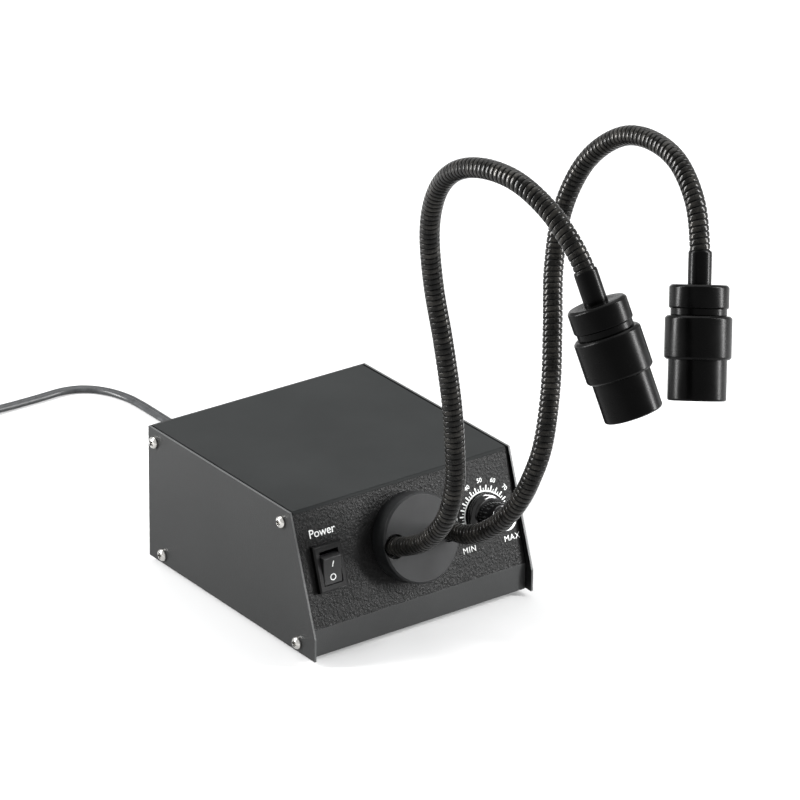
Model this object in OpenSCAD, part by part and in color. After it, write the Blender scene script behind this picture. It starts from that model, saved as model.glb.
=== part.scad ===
// Bench illuminator: a sheet metal box with a sloping front, a rocker switch, a dimmer knob
// and a round hub that feeds two swan necks, each with a focusing head.
// +X is the box's right, -Y its front, +Z up. The origin is the middle of the footprint, on the table.

/* [Box] */
// Width over the side plates
body_w = 120; // [112:1:150]
// Depth of the side plates
body_d = 129; // [120:1:165]
// Height of the side plates
body_h = 64.5; // [60:0.5:80]
// How far the front edge of a side plate leans back at its top
front_setback = 19; // [14:0.5:23]
// Height of the upright strip at a side plate's front edge
front_strip = 10.5; // [6:0.5:13]
// Thickness of the sheet metal
sheet_t = 1; // [0.8:0.1:1.5]
// Gap between the table and the sheet metal
foot_h = 2.5; // [2:0.5:8]
// Diameter of a rubber foot
foot_d = 10; // [8:0.5:14]
// How far the front panel lies behind the side plates at the bottom
panel_recess_low = 3.7; // [2:0.1:5]
// How far the front panel lies behind the side plates at the top
panel_recess_top = 0.8; // [0.4:0.1:2]
// Height of the front panel's crease above the sheet metal's lower edge
crease_h = 12.9; // [10:0.1:16]

/* [Switch] */
// Width of the switch bezel
bezel_w = 15; // [14:0.5:18]
// Height of the switch bezel
bezel_h = 21; // [19:0.5:24]
// Distance of the switch from the middle of the panel
switch_x = 44.8; // [40:0.1:48]
// Height of the switch's middle along the slope
switch_s = 25.9; // [20:0.1:32]
// Angle between the rocker's two positions
rocker_swing = 24; // [16:1:26]

/* [Dimmer] */
// Distance of the dial from the middle of the panel
dial_x = 41.2; // [38:0.1:44]
// Height of the dial's middle along the slope
dial_s = 26.4; // [22:0.1:32]
// Diameter of the knob's skirt
knob_d = 20.8; // [16:0.1:22]
// Height of the knob
knob_h = 14; // [10:0.5:18]
// Diameter of the potentiometer's shaft
pot_shaft_d = 6; // [4:0.5:6.5]
// Dial reading that the knob's pointer shows
dial_reading = 77; // [0:1:100]

/* [Light guide hub] */
// Diameter of the hub
hub_d = 40.4; // [38:0.1:44]
// How far the hub stands out of the panel
hub_t = 9.5; // [8:0.5:14]
// Height of the hub's middle along the slope
hub_s = 27.6; // [25:0.1:30]
// Wall between the mouth of a neck hole and the hub's edge
hub_rim = 0.1; // [0.1:0.1:3]

/* [Swan necks] */
// Outer diameter of the ribbed hose
neck_d = 8.7; // [8:0.1:9.2]
// Diameter of the hose's bore
neck_bore = 5.4; // [4.5:0.1:6]
// Distance from rib to rib
rib_pitch = 4; // [3.9:0.1:6]
// Depth of the groove between two ribs
rib_depth = 0.5; // [0.3:0.1:0.7]
// Greatest bend between two neighbouring lengths of a neck
neck_bend = 18; // [10:1:20]
// Radial gap between the hose and the fibre bundle
bundle_gap = 0.3; // [0.2:0.05:0.5]

/* [Heads] */
// Diameter of the barrel
barrel_d = 28; // [27:0.5:34]
// Length of the barrel
barrel_l = 18.2; // [16:0.1:26]
// Diameter of the collar
collar_d = 25; // [22:0.5:26]
// Length of the collar
collar_l = 9.9; // [8:0.1:14]
// Diameter of the focus tube
focus_d = 24.5; // [22:0.1:25.5]
// Length of the focus tube that shows
focus_l = 17; // [14:0.1:24]
// Length of the ferrule that shows
ferrule_l = 14; // [10:0.5:18]
// How far the focus tube pulls out
focus_travel = 5; // [2:0.5:7]

/* [Light engine] */
// Side of the square heat sink
sink_w = 30; // [26:1:32]
// Length of the heat sink's fins
fin_l = 16; // [10:1:18]
// Number of fins
fin_count = 8; // [5:1:9]
// Side of the square fan frame
fan_w = 40; // [36:1:44]
// Thickness of the fan frame
fan_t = 10; // [8:1:15]
// Number of fan blades
blade_count = 7; // [5:1:9]

/* [Mains lead] */
// Width of the flat lead
lead_w = 4.9; // [4:0.1:5.2]
// Thickness of the flat lead
lead_t = 3; // [2.4:0.1:3.2]
// Middle radius of the coil's outermost turn
coil_r = 38.8; // [38:0.2:42]
// Turns in each of the coil's two layers
coil_turns = 3.5; // [2.5:1:3.5]

/* [Fits] */
// Radial gap of a running fit
run_gap = 0.05; // [0.02:0.01:0.1]
// Gap between parts that pass freely
free_gap = 0.3; // [0.2:0.05:0.5]
// Gap in diameter of a piece that is pushed into its seat
push_gap = 0.06; // [0.02:0.02:0.1]
// Gap in diameter of a piece that drops into its seat
drop_gap = 0.1; // [0.05:0.05:0.2]
// Gap in diameter of the hose in its sockets
hose_gap = 0.2; // [0.1:0.05:0.4]

/* [Hidden] */
$fn = 48;
eps = 0.01;
gap_point_step = 12;

// Places on the box
z0 = foot_h;
z_top = z0 + body_h;
y_front = -body_d / 2;
y_rear = body_d / 2;
x_in = body_w / 2 - sheet_t;
crease_y = y_front + panel_recess_low;
crease_z = z0 + crease_h;
panel_top_y = y_front + front_setback + panel_recess_top;
panel_top_z = z_top - sheet_t;
panel_lean = atan2(panel_top_y - crease_y, panel_top_z - crease_z);
panel_up = [0, sin(panel_lean), cos(panel_lean)];
panel_out = [0, -cos(panel_lean), sin(panel_lean)];
lip = 6;
flange_h = 10;
bend_r = 1.6;

// Fasteners: 3 mm pan head screws
screw_d = 3;
screw_clear_d = 3.2;
screw_head_d = 5.7;
screw_head_h = 2;
screw_l = 6;
screw_bite_d = screw_d + drop_gap;
low_screw_z = z0 + 4.4;
top_screw_z = z_top - 6.4;
side_screw_yz = [
    [y_rear - 5, top_screw_z],
    [y_front + front_setback + 6, top_screw_z],
    [y_rear - 11, low_screw_z],
    [y_front + 12.7, low_screw_z]
];
foot_inset = [9, 16];
foot_x = body_w / 2 - foot_inset[0];
foot_y = body_d / 2 - foot_inset[1];
foot_floor = 1;
foot_head_t = 1.2;
foot_screw_l = 5;

// Hub
hub_lap = 1.8;
hub_spigot_d = hub_d - 2 * hub_lap;
hub_spigot_l = 3;
hub_edge = 0.8;
hose_seat_gap = 0.2;
hub_hole_d = neck_d + hose_gap;
hub_mouth_d = neck_d + 2.3;
hub_mouth_l = 4;
neck_x = (hub_d - hub_mouth_d) / 2 - hub_rim;
clamp_lap = 1.1;
clamp_d = hub_spigot_d + 2 * clamp_lap;
clamp_t = 1.5;
hub_screw_r = 12;
hub_screw_l = 5.5;

// Optics behind the hub, measured inwards along the hub's axis from the panel's face
neck_in = 8;
bundle_hole_d = neck_bore + 2 * bundle_gap + hose_gap;
bundle_d = neck_bore - 2 * bundle_gap;
merge_z = -24;
tip_d = 10;
tip_l = 9;
tip_wall = 1.5;
holder_d = 24;
holder_front = merge_z - 3;
holder_back = -43;
lens_z = -36.5;
condenser_d = 20;
condenser_edge = 2;
condenser_rise = 2.4;
condenser_rim = 0.5;
led_t = 1.6;
sink_base = 4;
fin_t = 1.6;
led_d = 19;
chip_w = 7;
chip_t = 0.8;
sink_front = holder_back;
sink_back = sink_front - sink_base - fin_l;

// Fan on the rear panel
fan_x = -24;
fan_z = z0 + 30;
fan_rim = 1.5;
fan_hole_d = fan_w - 2 * fan_rim;
fan_hole_inset = 4;
fan_hole_pitch = fan_w - 2 * fan_hole_inset;
spider_t = 1.6;
blade_gap = 0.7;
rotor_hub_d = 16;
rotor_shaft_d = 2;
rotor_lift = 1.9;
rotor_t = fan_t - 3;
rotor_bore_l = rotor_t - 1.4;
fan_y = y_rear - sheet_t;

// Driver board
board_w = 40;
board_d = 62;
board_t = 1.6;
board_x = 37;
board_y = 16;
standoff_h = 6;
board_hole_inset = 4;
board_z = z0 + sheet_t + standoff_h;

// Lead, its boot, coil and plug
boot_x = 28;
boot_z = z0 + 6.5;
boot_l = 26;
boot_end_d = lead_w + 1.6;
boot_root_d = boot_end_d + 2.6;
boot_flange_d = 13;
boot_tail = 4;
tie_t = 0.5;
tie_w = 6;
tie_gap = 0.15;
tie_side_gap = 0.5;
coil_z = lead_t / 2 + tie_t + 2 * tie_gap;
coil_side_gap = 0.5;
coil_pitch = lead_w + coil_side_gap;
coil_layer = lead_t + coil_side_gap;
coil_steps = 24;
coil_centre = [-62, 239 + coil_r];
coil_start = [coil_centre[0] + lead_w, coil_centre[1] - coil_r];
coil_total = 2 * coil_turns + 0.5;
peel = 11.5;
peel_turn = 0.22;
plug_t = 13.7;
plug_w = 24;
plug_l = 34;
plug_pin_l = 19;
plug_pin_d = 4;
plug_pin_pitch = 18.6;
plug_z = plug_t / 2 + 0.05;
plug_boot_l = 12;
plug_neck_d = 11;
plug_shoulder = 8;

// Neck routes, as offsets from the middle of the neck's hole in the hub's face; they start square to the hub
left_route = [
    -neck_in * panel_out, [0, 0, 0], [0, -10, 4.5], [0, -21, 11], [-0.5, -31, 20.5], [-1, -38.5, 31.5],
    [-1, -43, 47], [-2, -44, 64], [-3, -42.5, 86], [-5, -38.5, 113], [-8, -35, 139], [-11.5, -36.5, 165],
    [-13.5, -44, 185], [-15, -58, 199], [-15, -77, 206.5], [-13.5, -98, 207], [-11, -117, 199],
    [-8.5, -132, 185], [-6, -140.5, 167.5]
];
right_route = [
    -neck_in * panel_out, [0, 0, 0], [0.5, -11, 2], [1.5, -23, 8], [3, -34, 17.5], [4, -43, 28.5],
    [5.5, -50, 42.5], [9, -53.5, 60], [15.5, -49.5, 84], [22, -41.5, 108], [28.5, -33, 129],
    [35.5, -28.5, 151], [41, -32, 169.5], [44.5, -41.5, 183.5], [46.5, -57, 194], [47, -74.5, 197],
    [46, -92, 193.5], [43, -107, 182], [39, -116, 166.5], [35, -121.5, 151.5]
];
// Where each neck's lengths meet, measured along the neck
neck_breaks = [34, 92, 150, 208, 262];
neck_lengths = len(neck_breaks) + 1;

// The lead's route over the table, from the boot's tip to the coil
lead_route = [
    [28, 90, 9], [28, 97, 9], [28, 107, 7.4], [28, 118, 5], [28, 130, 2.8], [28, 142, 1.8],
    [28, 156, 1.6], [28, 172, 1.6], [28, 188, 1.6], [28, 203, 1.6], [27, 215, 1.6], [23, 226.5, 1.6],
    [16, 235, 1.6], [6, 239, 1.6], [-8, 239, 1.6], [-22, 239, 1.6], [-34, 239, 1.9],
    [-44, 239, 2.3], [-51, 239, 2.3], [-57.1, 239, 2.3]
];

// Route along points: a Catmull-Rom curve, tabulated by its length
route_steps = 6;
function reach(p, q) = p + (p - q);
function blend4(a, b, c, d, t) = 0.5 * (
    2 * b + (c - a) * t + (2 * a - 5 * b + 4 * c - d) * t * t + (3 * b - a - 3 * c + d) * t * t * t);
function dense(p) = let (n = len(p), q = concat([reach(p[0], p[1])], p, [reach(p[n - 1], p[n - 2])]))
    concat([for (i = [0 : n - 2]) for (k = [0 : route_steps - 1])
        blend4(q[i], q[i + 1], q[i + 2], q[i + 3], k / route_steps)], [p[n - 1]]);
function lengths(d) = [for (i = 0, s = 0; i < len(d); i = i + 1,
    s = i < len(d) ? s + norm(d[i] - d[i - 1]) : s) s];
function table(d, s, axis) = [for (i = [0 : len(d) - 1]) [s[i], d[i][axis]]];
function curve(p) = let (d = dense(p), s = lengths(d))
    [s[len(s) - 1], table(d, s, 0), table(d, s, 1), table(d, s, 2)];
function at(c, s) = [lookup(s, c[1]), lookup(s, c[2]), lookup(s, c[3])];
function unit(v) = v / norm(v);
function heading(c, s) = unit(at(c, min(s + 0.6, c[0])) - at(c, max(s - 0.6, 0)));

left_curve = curve(left_route);
right_curve = curve(right_route);
lead_curve = curve(lead_route);

// A ring of points round a curve's point; side is a vector that the curve never runs along
function ring(p, t, side, shape) = let (a = unit(cross(side, t)), b = cross(t, a))
    [for (q = shape) p + a * q[0] + b * q[1]];
function round_shape(r, sides) = [for (k = [0 : sides - 1]) r * [cos(360 * k / sides), sin(360 * k / sides)]];
function flat_shape(w, t) = [
    [w / 2, 0], [w / 4, t / 2], [-w / 4, t / 2],
    [-w / 2, 0], [-w / 4, -t / 2], [w / 4, -t / 2]
];
function flat_shape8(w, t) = [
    [w / 2, t * 0.18], [w * 0.3, t / 2], [-w * 0.3, t / 2], [-w / 2, t * 0.18],
    [-w / 2, -t * 0.18], [-w * 0.3, -t / 2], [w * 0.3, -t / 2], [w / 2, -t * 0.18]
];

// Solid through closed rings; closed joins the last ring to the first, else both ends get a cap
module through(rings, closed) {
    n = len(rings);
    m = len(rings[0]);
    last = closed ? n - 1 : n - 2;
    walls = [for (i = [0 : last]) for (k = [0 : m - 1]) let (j = (i + 1) % n, l = (k + 1) % m)
        each [[i * m + k, i * m + l, j * m + k], [i * m + l, j * m + l, j * m + k]]];
    caps = closed ? [] : concat(
        [for (k = [1 : m - 2]) [0, k + 1, k]],
        [for (k = [1 : m - 2]) [(n - 1) * m, (n - 1) * m + k, (n - 1) * m + k + 1]]);
    polyhedron(concat([for (r = rings) each r]), concat(walls, caps));
}

// Frame of the sloping panel: x across, y up the slope, z out of the panel
module on_panel(x, s) {
    translate([0, crease_y, crease_z]) rotate([90 - panel_lean, 0, 0]) translate([x, s, 0]) children();
}
function panel_point(x, s, z) = [x, crease_y, crease_z] + panel_up * s + panel_out * z;

// Puts +z along a direction
module along(p, d) {
    translate(p) rotate([0, acos(d[2] / norm(d)), atan2(d[1], d[0])]) children();
}

// Outline of a sheet of thickness t on the left of a line of points
function turn_offset(a, b, c, t) = let (
        u = unit(b - a), v = unit(c - b), m = unit(u + v), k = m * u)
    b + t / k * [-m[1], m[0]];
function sheet_outline(p, t) = let (n = len(p),
        u0 = unit(p[1] - p[0]), u1 = unit(p[n - 1] - p[n - 2]),
        inner = concat([p[0] + t * [-u0[1], u0[0]]],
            [for (i = [1 : n - 2]) turn_offset(p[i - 1], p[i], p[i + 1], t)],
            [p[n - 1] + t * [-u1[1], u1[0]]]))
    concat(p, [for (i = [n - 1 : -1 : 0]) inner[i]]);

// Extrudes a (y, z) outline across x
module across(x_low, x_high) {
    translate([x_low, 0, 0]) rotate([90, 0, 90]) linear_extrude(x_high - x_low) children();
}

// Pan head screw along -z, its head above z = 0, with a cross recess
module pan_screw(length) {
    recess_w = 0.9;
    recess_l = 3;
    recess_deep = 1.2;
    difference() {
        union() {
            rotate_extrude($fn = 32) polygon([
                [0, 0], [screw_head_d / 2, 0], [screw_head_d / 2, screw_head_h * 0.45],
                [screw_head_d * 0.42, screw_head_h * 0.8], [screw_head_d * 0.27, screw_head_h],
                [0, screw_head_h]]);
            translate([0, 0, -length]) cylinder(d = screw_d, h = length + eps, $fn = 24);
        }
        for (a = [0, 90]) rotate([0, 0, a])
            translate([-recess_l / 2, -recess_w / 2, screw_head_h - recess_deep]) cube([recess_l, recess_w, 2]);
    }
}

// ---- Sheet metal

module side_outline() {
    polygon([
        [y_front, z0], [y_rear, z0], [y_rear, z_top], [y_front + front_setback, z_top],
        [y_front, z0 + front_strip]]);
}

module side_plate(side) {
    x_low = side < 0 ? -body_w / 2 : x_in;
    difference() {
        across(x_low, x_low + sheet_t) side_outline();
        for (q = side_screw_yz) translate([x_low - 1, q[0], q[1]]) rotate([0, 90, 0])
            cylinder(d = screw_clear_d, h = sheet_t + 2, $fn = 24);
    }
}

module left_side_plate() { color("#26282b") side_plate(-1); }
module right_side_plate() { color("#26282b") side_plate(1); }

// Holes in the turned flanges that the side screws bite into
module flange_holes(z) {
    for (side = [-1, 1]) for (q = side_screw_yz) if (q[1] == z)
        translate([side * (x_in - 2), q[0], z]) rotate([0, 90, 0])
            cylinder(d = screw_bite_d, h = 8, center = true, $fn = 24);
}

module top_cover() {
    lip_y = panel_top_y - sheet_t / cos(panel_lean);
    lip_z = z_top - bend_r;
    color("#2a2c2f") difference() {
        union() {
            across(-x_in, x_in) polygon([
                [y_rear - sheet_t, z_top], [lip_y + bend_r, z_top],
                for (a = [75 : -15 : 0]) [lip_y + bend_r * (1 - cos(a)), lip_z + bend_r * sin(a)],
                [panel_top_y - (panel_top_z - lip_z) * tan(panel_lean), lip_z],
                [panel_top_y, panel_top_z], [y_rear - sheet_t, panel_top_z]]);
            for (side = [-1, 1])
                translate([side < 0 ? -x_in : x_in - sheet_t, panel_top_y + lip + 2, z_top - flange_h])
                    cube([sheet_t, y_rear - sheet_t - panel_top_y - lip - 2, flange_h - sheet_t / 2]);
        }
        flange_holes(top_screw_z);
    }
}

module panel_cutouts() {
    on_panel(-switch_x, switch_s) translate([-bezel_w / 2 + bezel_lap, -bezel_h / 2 + bezel_lap, -3])
        cube([bezel_w - 2 * bezel_lap, bezel_h - 2 * bezel_lap, 6]);
    on_panel(dial_x, dial_s) translate([0, 0, -3]) cylinder(d = pot_bush_d + free_gap, h = 6);
    on_panel(0, hub_s) translate([0, 0, -3]) cylinder(d = hub_spigot_d + free_gap + drop_gap, h = 6);
}

module front_panel() {
    outline = sheet_outline([
        [crease_y + lip + 2, z0], [crease_y, z0], [crease_y, crease_z],
        [panel_top_y, panel_top_z], [panel_top_y + lip, panel_top_z]], -sheet_t);
    color("#1d1f21") difference() {
        across(-x_in, x_in) polygon(outline);
        panel_cutouts();
    }
}

slot_count = 8;
slot_w = 2.4;
slot_pitch = 4.2;
module rear_panel() {
    color("#26282b") difference() {
        translate([-x_in, y_rear - sheet_t, z0 + sheet_t])
            cube([2 * x_in, sheet_t, body_h - sheet_t]);
        for (i = [0 : slot_count - 1]) {
            z = fan_z + (i - (slot_count - 1) / 2) * slot_pitch;
            half = sqrt(pow(fan_hole_d / 2, 2) - pow(z - fan_z, 2));
            translate([fan_x - half + slot_w / 2, y_rear - sheet_t - 1, z - slot_w / 2])
                cube([2 * half - slot_w, sheet_t + 2, slot_w]);
        }
        fan_corners() translate([0, 0, -4]) cylinder(d = screw_clear_d, h = 8, $fn = 24);
        translate([boot_x, y_rear, boot_z]) rotate([90, 0, 0])
            cylinder(d = boot_root_d + 0.2, h = 6, center = true);
    }
}

module base_plate() {
    front = crease_y + sheet_t;
    color("#26282b") difference() {
        union() {
            translate([-x_in, front + lip + 2, z0]) cube([2 * x_in, y_rear - front - lip - 2, sheet_t]);
            translate([-x_in, front, z0 + sheet_t]) cube([2 * x_in, lip + 2 + eps, sheet_t]);
            translate([-x_in, front + lip + 2, z0]) cube([2 * x_in, sheet_t, 2 * sheet_t]);
            for (side = [-1, 1]) translate([side < 0 ? -x_in : x_in - sheet_t, front, z0 + sheet_t])
                cube([sheet_t, y_rear - sheet_t - front, flange_h - sheet_t]);
        }
        flange_holes(low_screw_z);
        for (sx = [-1, 1]) for (sy = [-1, 1])
            translate([sx * foot_x, sy * foot_y, z0 - 1]) cylinder(d = screw_bite_d, h = 4, $fn = 24);
        for (i = [0 : slot_count - 1]) translate([-26, -28 + i * slot_pitch * 1.5, z0 - 1])
            cube([30, slot_w, sheet_t + 2]);
    }
}

module side_screws() {
    color("#c9ccd0") for (side = [-1, 1]) for (q = side_screw_yz)
        translate([side * body_w / 2, q[0], q[1]]) rotate([0, side * 90, 0]) rotate([0, 0, q[0] * 7])
            pan_screw(screw_l);
}

// ---- Feet

module rubber_feet() {
    color("#151515") for (sx = [-1, 1]) for (sy = [-1, 1]) translate([sx * foot_x, sy * foot_y, 0])
        difference() {
            cylinder(d1 = foot_d - 1, d2 = foot_d, h = foot_h);
            translate([0, 0, -1]) cylinder(d = screw_head_d + free_gap, h = foot_h - foot_floor + 1, $fn = 32);
            cylinder(d = screw_bite_d, h = foot_h + 1, $fn = 24);
        }
}

module foot_screws() {
    color("#9a9da1") for (sx = [-1, 1]) for (sy = [-1, 1])
        translate([sx * foot_x, sy * foot_y, foot_h - foot_floor]) {
            rotate([180, 0, 0]) cylinder(d = screw_head_d, h = foot_head_t, $fn = 32);
            cylinder(d = screw_d, h = foot_screw_l, $fn = 24);
        }
}

// ---- Rocker switch

bezel_side = 2.5;
bezel_end = 2.8;
bezel_proud = 2.6;
bezel_chamfer = 0.7;
bezel_lap = 0.9;
switch_cavity_w = bezel_w - 2 * bezel_side;
switch_cavity_h = bezel_h - 2 * bezel_end;
switch_cavity_deep = 8;
switch_box_in = bezel_lap + drop_gap;
switch_deep = 15;
terminal = [4.8, 0.8, 7];
terminal_pitch = 6;
trunnion_d = 2;
trunnion_deep = 3.5;
trunnion_l = bezel_w - 3.6;

module switch_body() {
    color("#161718") on_panel(-switch_x, switch_s) difference() {
        union() {
            hull() {
                translate([-bezel_w / 2, -bezel_h / 2, 0]) cube([bezel_w, bezel_h, bezel_proud - bezel_chamfer]);
                translate([-bezel_w / 2 + bezel_chamfer, -bezel_h / 2 + bezel_chamfer, 0])
                    cube([bezel_w - 2 * bezel_chamfer, bezel_h - 2 * bezel_chamfer, bezel_proud]);
            }
            translate([-bezel_w / 2 + switch_box_in, -bezel_h / 2 + switch_box_in, -switch_deep])
                cube([bezel_w - 2 * switch_box_in, bezel_h - 2 * switch_box_in, switch_deep + eps]);
            for (s = [-1, 0, 1])
                translate([-terminal[0] / 2, s * terminal_pitch - terminal[1] / 2, -switch_deep - terminal[2]])
                    cube([terminal[0], terminal[1], terminal[2] + 0.1]);
        }
        translate([-switch_cavity_w / 2, -switch_cavity_h / 2, -switch_cavity_deep])
            cube([switch_cavity_w, switch_cavity_h, switch_cavity_deep + bezel_proud + 1]);
        translate([0, 0, -trunnion_deep]) rotate([0, 90, 0])
            cylinder(d = trunnion_d + 2 * run_gap, h = trunnion_l + 2 * free_gap, center = true, $fn = 24);
    }
}

// Rocker, drawn from its trunnions: a shallow dip in its face, and ends that slope out below the ridges
rocker_end_gap = 1;
rocker_face_z = trunnion_deep + bezel_proud + 0.4;
rocker_dip = 0.5;
rocker_slope = [0.7, 2.3];
rocker_root = 1.3;
rocker_belly = [2.2, 1.6];
module switch_rocker() {
    half = switch_cavity_h / 2 - rocker_end_gap;
    ridge = half - rocker_slope[0];
    widest_z = rocker_face_z - rocker_slope[1];
    color("#1b1c1d") on_panel(-switch_x, switch_s) translate([0, 0, -trunnion_deep])
        rotate([rocker_swing / 2, 0, 0]) {
            translate([-switch_cavity_w / 2 + free_gap, 0, 0]) rotate([90, 0, 90])
                linear_extrude(switch_cavity_w - 2 * free_gap) polygon([
                    [-ridge, rocker_face_z], [-ridge / 2, rocker_face_z - rocker_dip * 0.75],
                    [0, rocker_face_z - rocker_dip], [ridge / 2, rocker_face_z - rocker_dip * 0.75],
                    [ridge, rocker_face_z], [half, widest_z], [half - rocker_root, 0],
                    [rocker_belly[0], -rocker_belly[1]], [-rocker_belly[0], -rocker_belly[1]],
                    [rocker_root - half, 0], [-half, widest_z]]);
            rotate([0, 90, 0]) cylinder(d = trunnion_d, h = trunnion_l, center = true, $fn = 24);
        }
}

// ---- Dimmer

pot_bush_d = pot_shaft_d + 1;
pot_body_d = 17;
pot_body_l = 8;
pot_bush_l = 4.5;
pot_floor = 1.5;
pot_flat = 1.2;
pot_flat_z = 5.2;
pot_nut_d = pot_bush_d + 4;
pot_nut_t = 2;
dial_sweep = 264;
knob_angle = (0.5 - dial_reading / 100) * dial_sweep;

module dimmer_potentiometer() {
    color("#5c6670") on_panel(dial_x, dial_s) difference() {
        union() {
            translate([0, 0, -sheet_t - pot_body_l]) cylinder(d = pot_body_d, h = pot_body_l);
            translate([0, 0, -sheet_t - eps]) cylinder(d = pot_bush_d, h = sheet_t + pot_bush_l);
            for (s = [-1, 0, 1]) translate([s * 5 - 0.8, -pot_body_d / 2 - 4, -sheet_t - 5]) cube([1.6, 6, 1]);
        }
        translate([0, 0, -sheet_t - pot_body_l + pot_floor])
            cylinder(d = pot_shaft_d + 2 * run_gap, h = sheet_t + pot_body_l + pot_bush_l, $fn = 40);
    }
}

module potentiometer_nut() {
    color("#b9bcc0") on_panel(dial_x, dial_s) difference() {
        cylinder(d = pot_nut_d, h = pot_nut_t, $fn = 6);
        translate([0, 0, -1]) cylinder(d = pot_bush_d + push_gap, h = pot_nut_t + 2);
    }
}

shaft_start = -sheet_t - pot_body_l + pot_floor + 0.5;
shaft_end = knob_h - 1;
module potentiometer_shaft() {
    color("#c5c8cc") on_panel(dial_x, dial_s) rotate([0, 0, knob_angle + 180]) difference() {
        translate([0, 0, shaft_start]) cylinder(d = pot_shaft_d, h = shaft_end - shaft_start);
        translate([-pot_shaft_d, pot_shaft_d / 2 - pot_flat, pot_flat_z])
            cube([2 * pot_shaft_d, pot_flat + 1, shaft_end]);
    }
}

knob_lift = 0.8;
knob_floor = 4.6;
nut_room_d = pot_nut_d + 1.4;
grip_d = nut_room_d + 1.6;
grip_top_d = grip_d - 1.4;
set_screw_z = 8.4;
set_screw_d = 2.9;
set_screw_l = 3.6;
pointer_w = 2.6;
pointer_out = 0.4;
pointer_low = 2;
pointer_high = 9.5;

// Smooth knob: a skirt with a rounded rim, a tapered grip and a pointer fin from the grip to the rim
module dimmer_knob() {
    rim = knob_d / 2;
    color("#111213") on_panel(dial_x, dial_s) rotate([0, 0, knob_angle]) difference() {
        union() {
            translate([0, 0, knob_lift]) rotate_extrude() polygon([
                [0, 0], [rim - 0.3, 0], [rim, 0.4], [rim, 1.2], [rim - 0.5, 1.9], [rim - 1.5, 2.2],
                [grip_d / 2 + 0.8, 2.6], [grip_d / 2 + 0.1, 3.3], [grip_d / 2, 4.2],
                [grip_top_d / 2, knob_h - 1.5],
                [grip_top_d / 2 - 0.5, knob_h - 0.5], [grip_top_d / 2 - 1.5, knob_h], [0, knob_h]]);
            translate([-pointer_w / 2, 0, knob_lift]) rotate([90, 0, 90]) linear_extrude(pointer_w) polygon([
                [grip_top_d / 2 - 2.5, pointer_low - 1], [rim - pointer_out - 0.2, pointer_low - 1],
                [rim - pointer_out, pointer_low], [rim - pointer_out - 0.6, pointer_low + 2],
                [grip_top_d / 2 - 0.8, pointer_high], [grip_top_d / 2 - 2.5, pointer_high]]);
        }
        translate([0, 0, -1]) cylinder(d = nut_room_d, h = 1 + knob_floor);
        translate([0, 0, -1]) cylinder(d = pot_shaft_d + push_gap, h = shaft_end + 1.4, $fn = 40);
        translate([0, 0, set_screw_z]) rotate([90, 0, 0])
            cylinder(d = set_screw_d + drop_gap, h = knob_d, $fn = 24);
    }
}

// Headless screw opposite the pointer, on the flat of the shaft
module knob_set_screw() {
    flat_y = pot_shaft_d / 2 - pot_flat;
    color("#8d9094") on_panel(dial_x, dial_s) rotate([0, 0, knob_angle + 180])
        translate([0, flat_y, set_screw_z]) rotate([-90, 0, 0]) difference() {
            cylinder(d = set_screw_d, h = set_screw_l, $fn = 24);
            translate([0, 0, set_screw_l - 1.4]) cylinder(d = 1.5, h = 3, $fn = 6);
        }
}

// ---- Light guide hub and light engine

module light_guide_hub() {
    color("#1a1b1c") on_panel(0, hub_s) difference() {
        union() {
            rotate_extrude($fn = 96) polygon([
                [0, 0], [hub_d / 2, 0], [hub_d / 2, hub_t - hub_edge], [hub_d / 2 - hub_edge, hub_t], [0, hub_t]]);
            translate([0, 0, -hub_spigot_l]) cylinder(d = hub_spigot_d, h = hub_spigot_l + eps, $fn = 96);
        }
        for (side = [-1, 1]) translate([side * neck_x, 0, 0]) {
            translate([0, 0, -hub_spigot_l - 1]) cylinder(d = bundle_hole_d, h = hub_t + 8, $fn = 40);
            translate([0, 0, neck_start_z - hose_seat_gap]) cylinder(d = hub_hole_d, h = hub_t + 8, $fn = 40);
            translate([0, 0, hub_t - hub_mouth_l]) cylinder(d = hub_mouth_d, h = hub_mouth_l + 1, $fn = 40);
        }
        for (side = [-1, 1]) translate([0, side * hub_screw_r, -hub_spigot_l - 1])
            cylinder(d = screw_bite_d, h = 8, $fn = 24);
    }
}

module hub_clamp_plate() {
    color("#8b8e92") on_panel(0, hub_s) translate([0, 0, -hub_spigot_l - clamp_t]) difference() {
        cylinder(d = clamp_d, h = clamp_t, $fn = 96);
        for (side = [-1, 1]) translate([side * neck_x, 0, -1])
            cylinder(d = bundle_hole_d, h = clamp_t + 2, $fn = 40);
        for (side = [-1, 1]) translate([0, side * hub_screw_r, -1])
            cylinder(d = screw_clear_d, h = clamp_t + 2, $fn = 24);
    }
}

module hub_screws() {
    color("#a9acb0") on_panel(0, hub_s) for (side = [-1, 1])
        translate([0, side * hub_screw_r, -hub_spigot_l - clamp_t]) rotate([180, 0, 0]) pan_screw(hub_screw_l);
}

// Two legs that run together into one round tip
module fibre_bundle() {
    start_z = neck_start_z - 0.3;
    color("#d8d2b8") on_panel(0, hub_s) {
        for (side = [-1, 1]) {
            leg = curve([
                [side * neck_x, 0, start_z], [side * neck_x, 0, start_z - 4], [side * neck_x * 0.8, 0, -12],
                [side * neck_x * 0.42, 0, -19], [side * tip_d * 0.25, 0, merge_z],
                [side * tip_d * 0.25, 0, merge_z - 1.5]]);
            steps = 9;
            through([for (i = [0 : steps])
                let (s = leg[0] * i / steps, r = i < steps - 1 ? bundle_d / 2 : tip_d * 0.22)
                    ring(at(leg, s), heading(leg, s), [0, 1, 0], round_shape(r, 8))], false);
        }
    }
}

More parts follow.
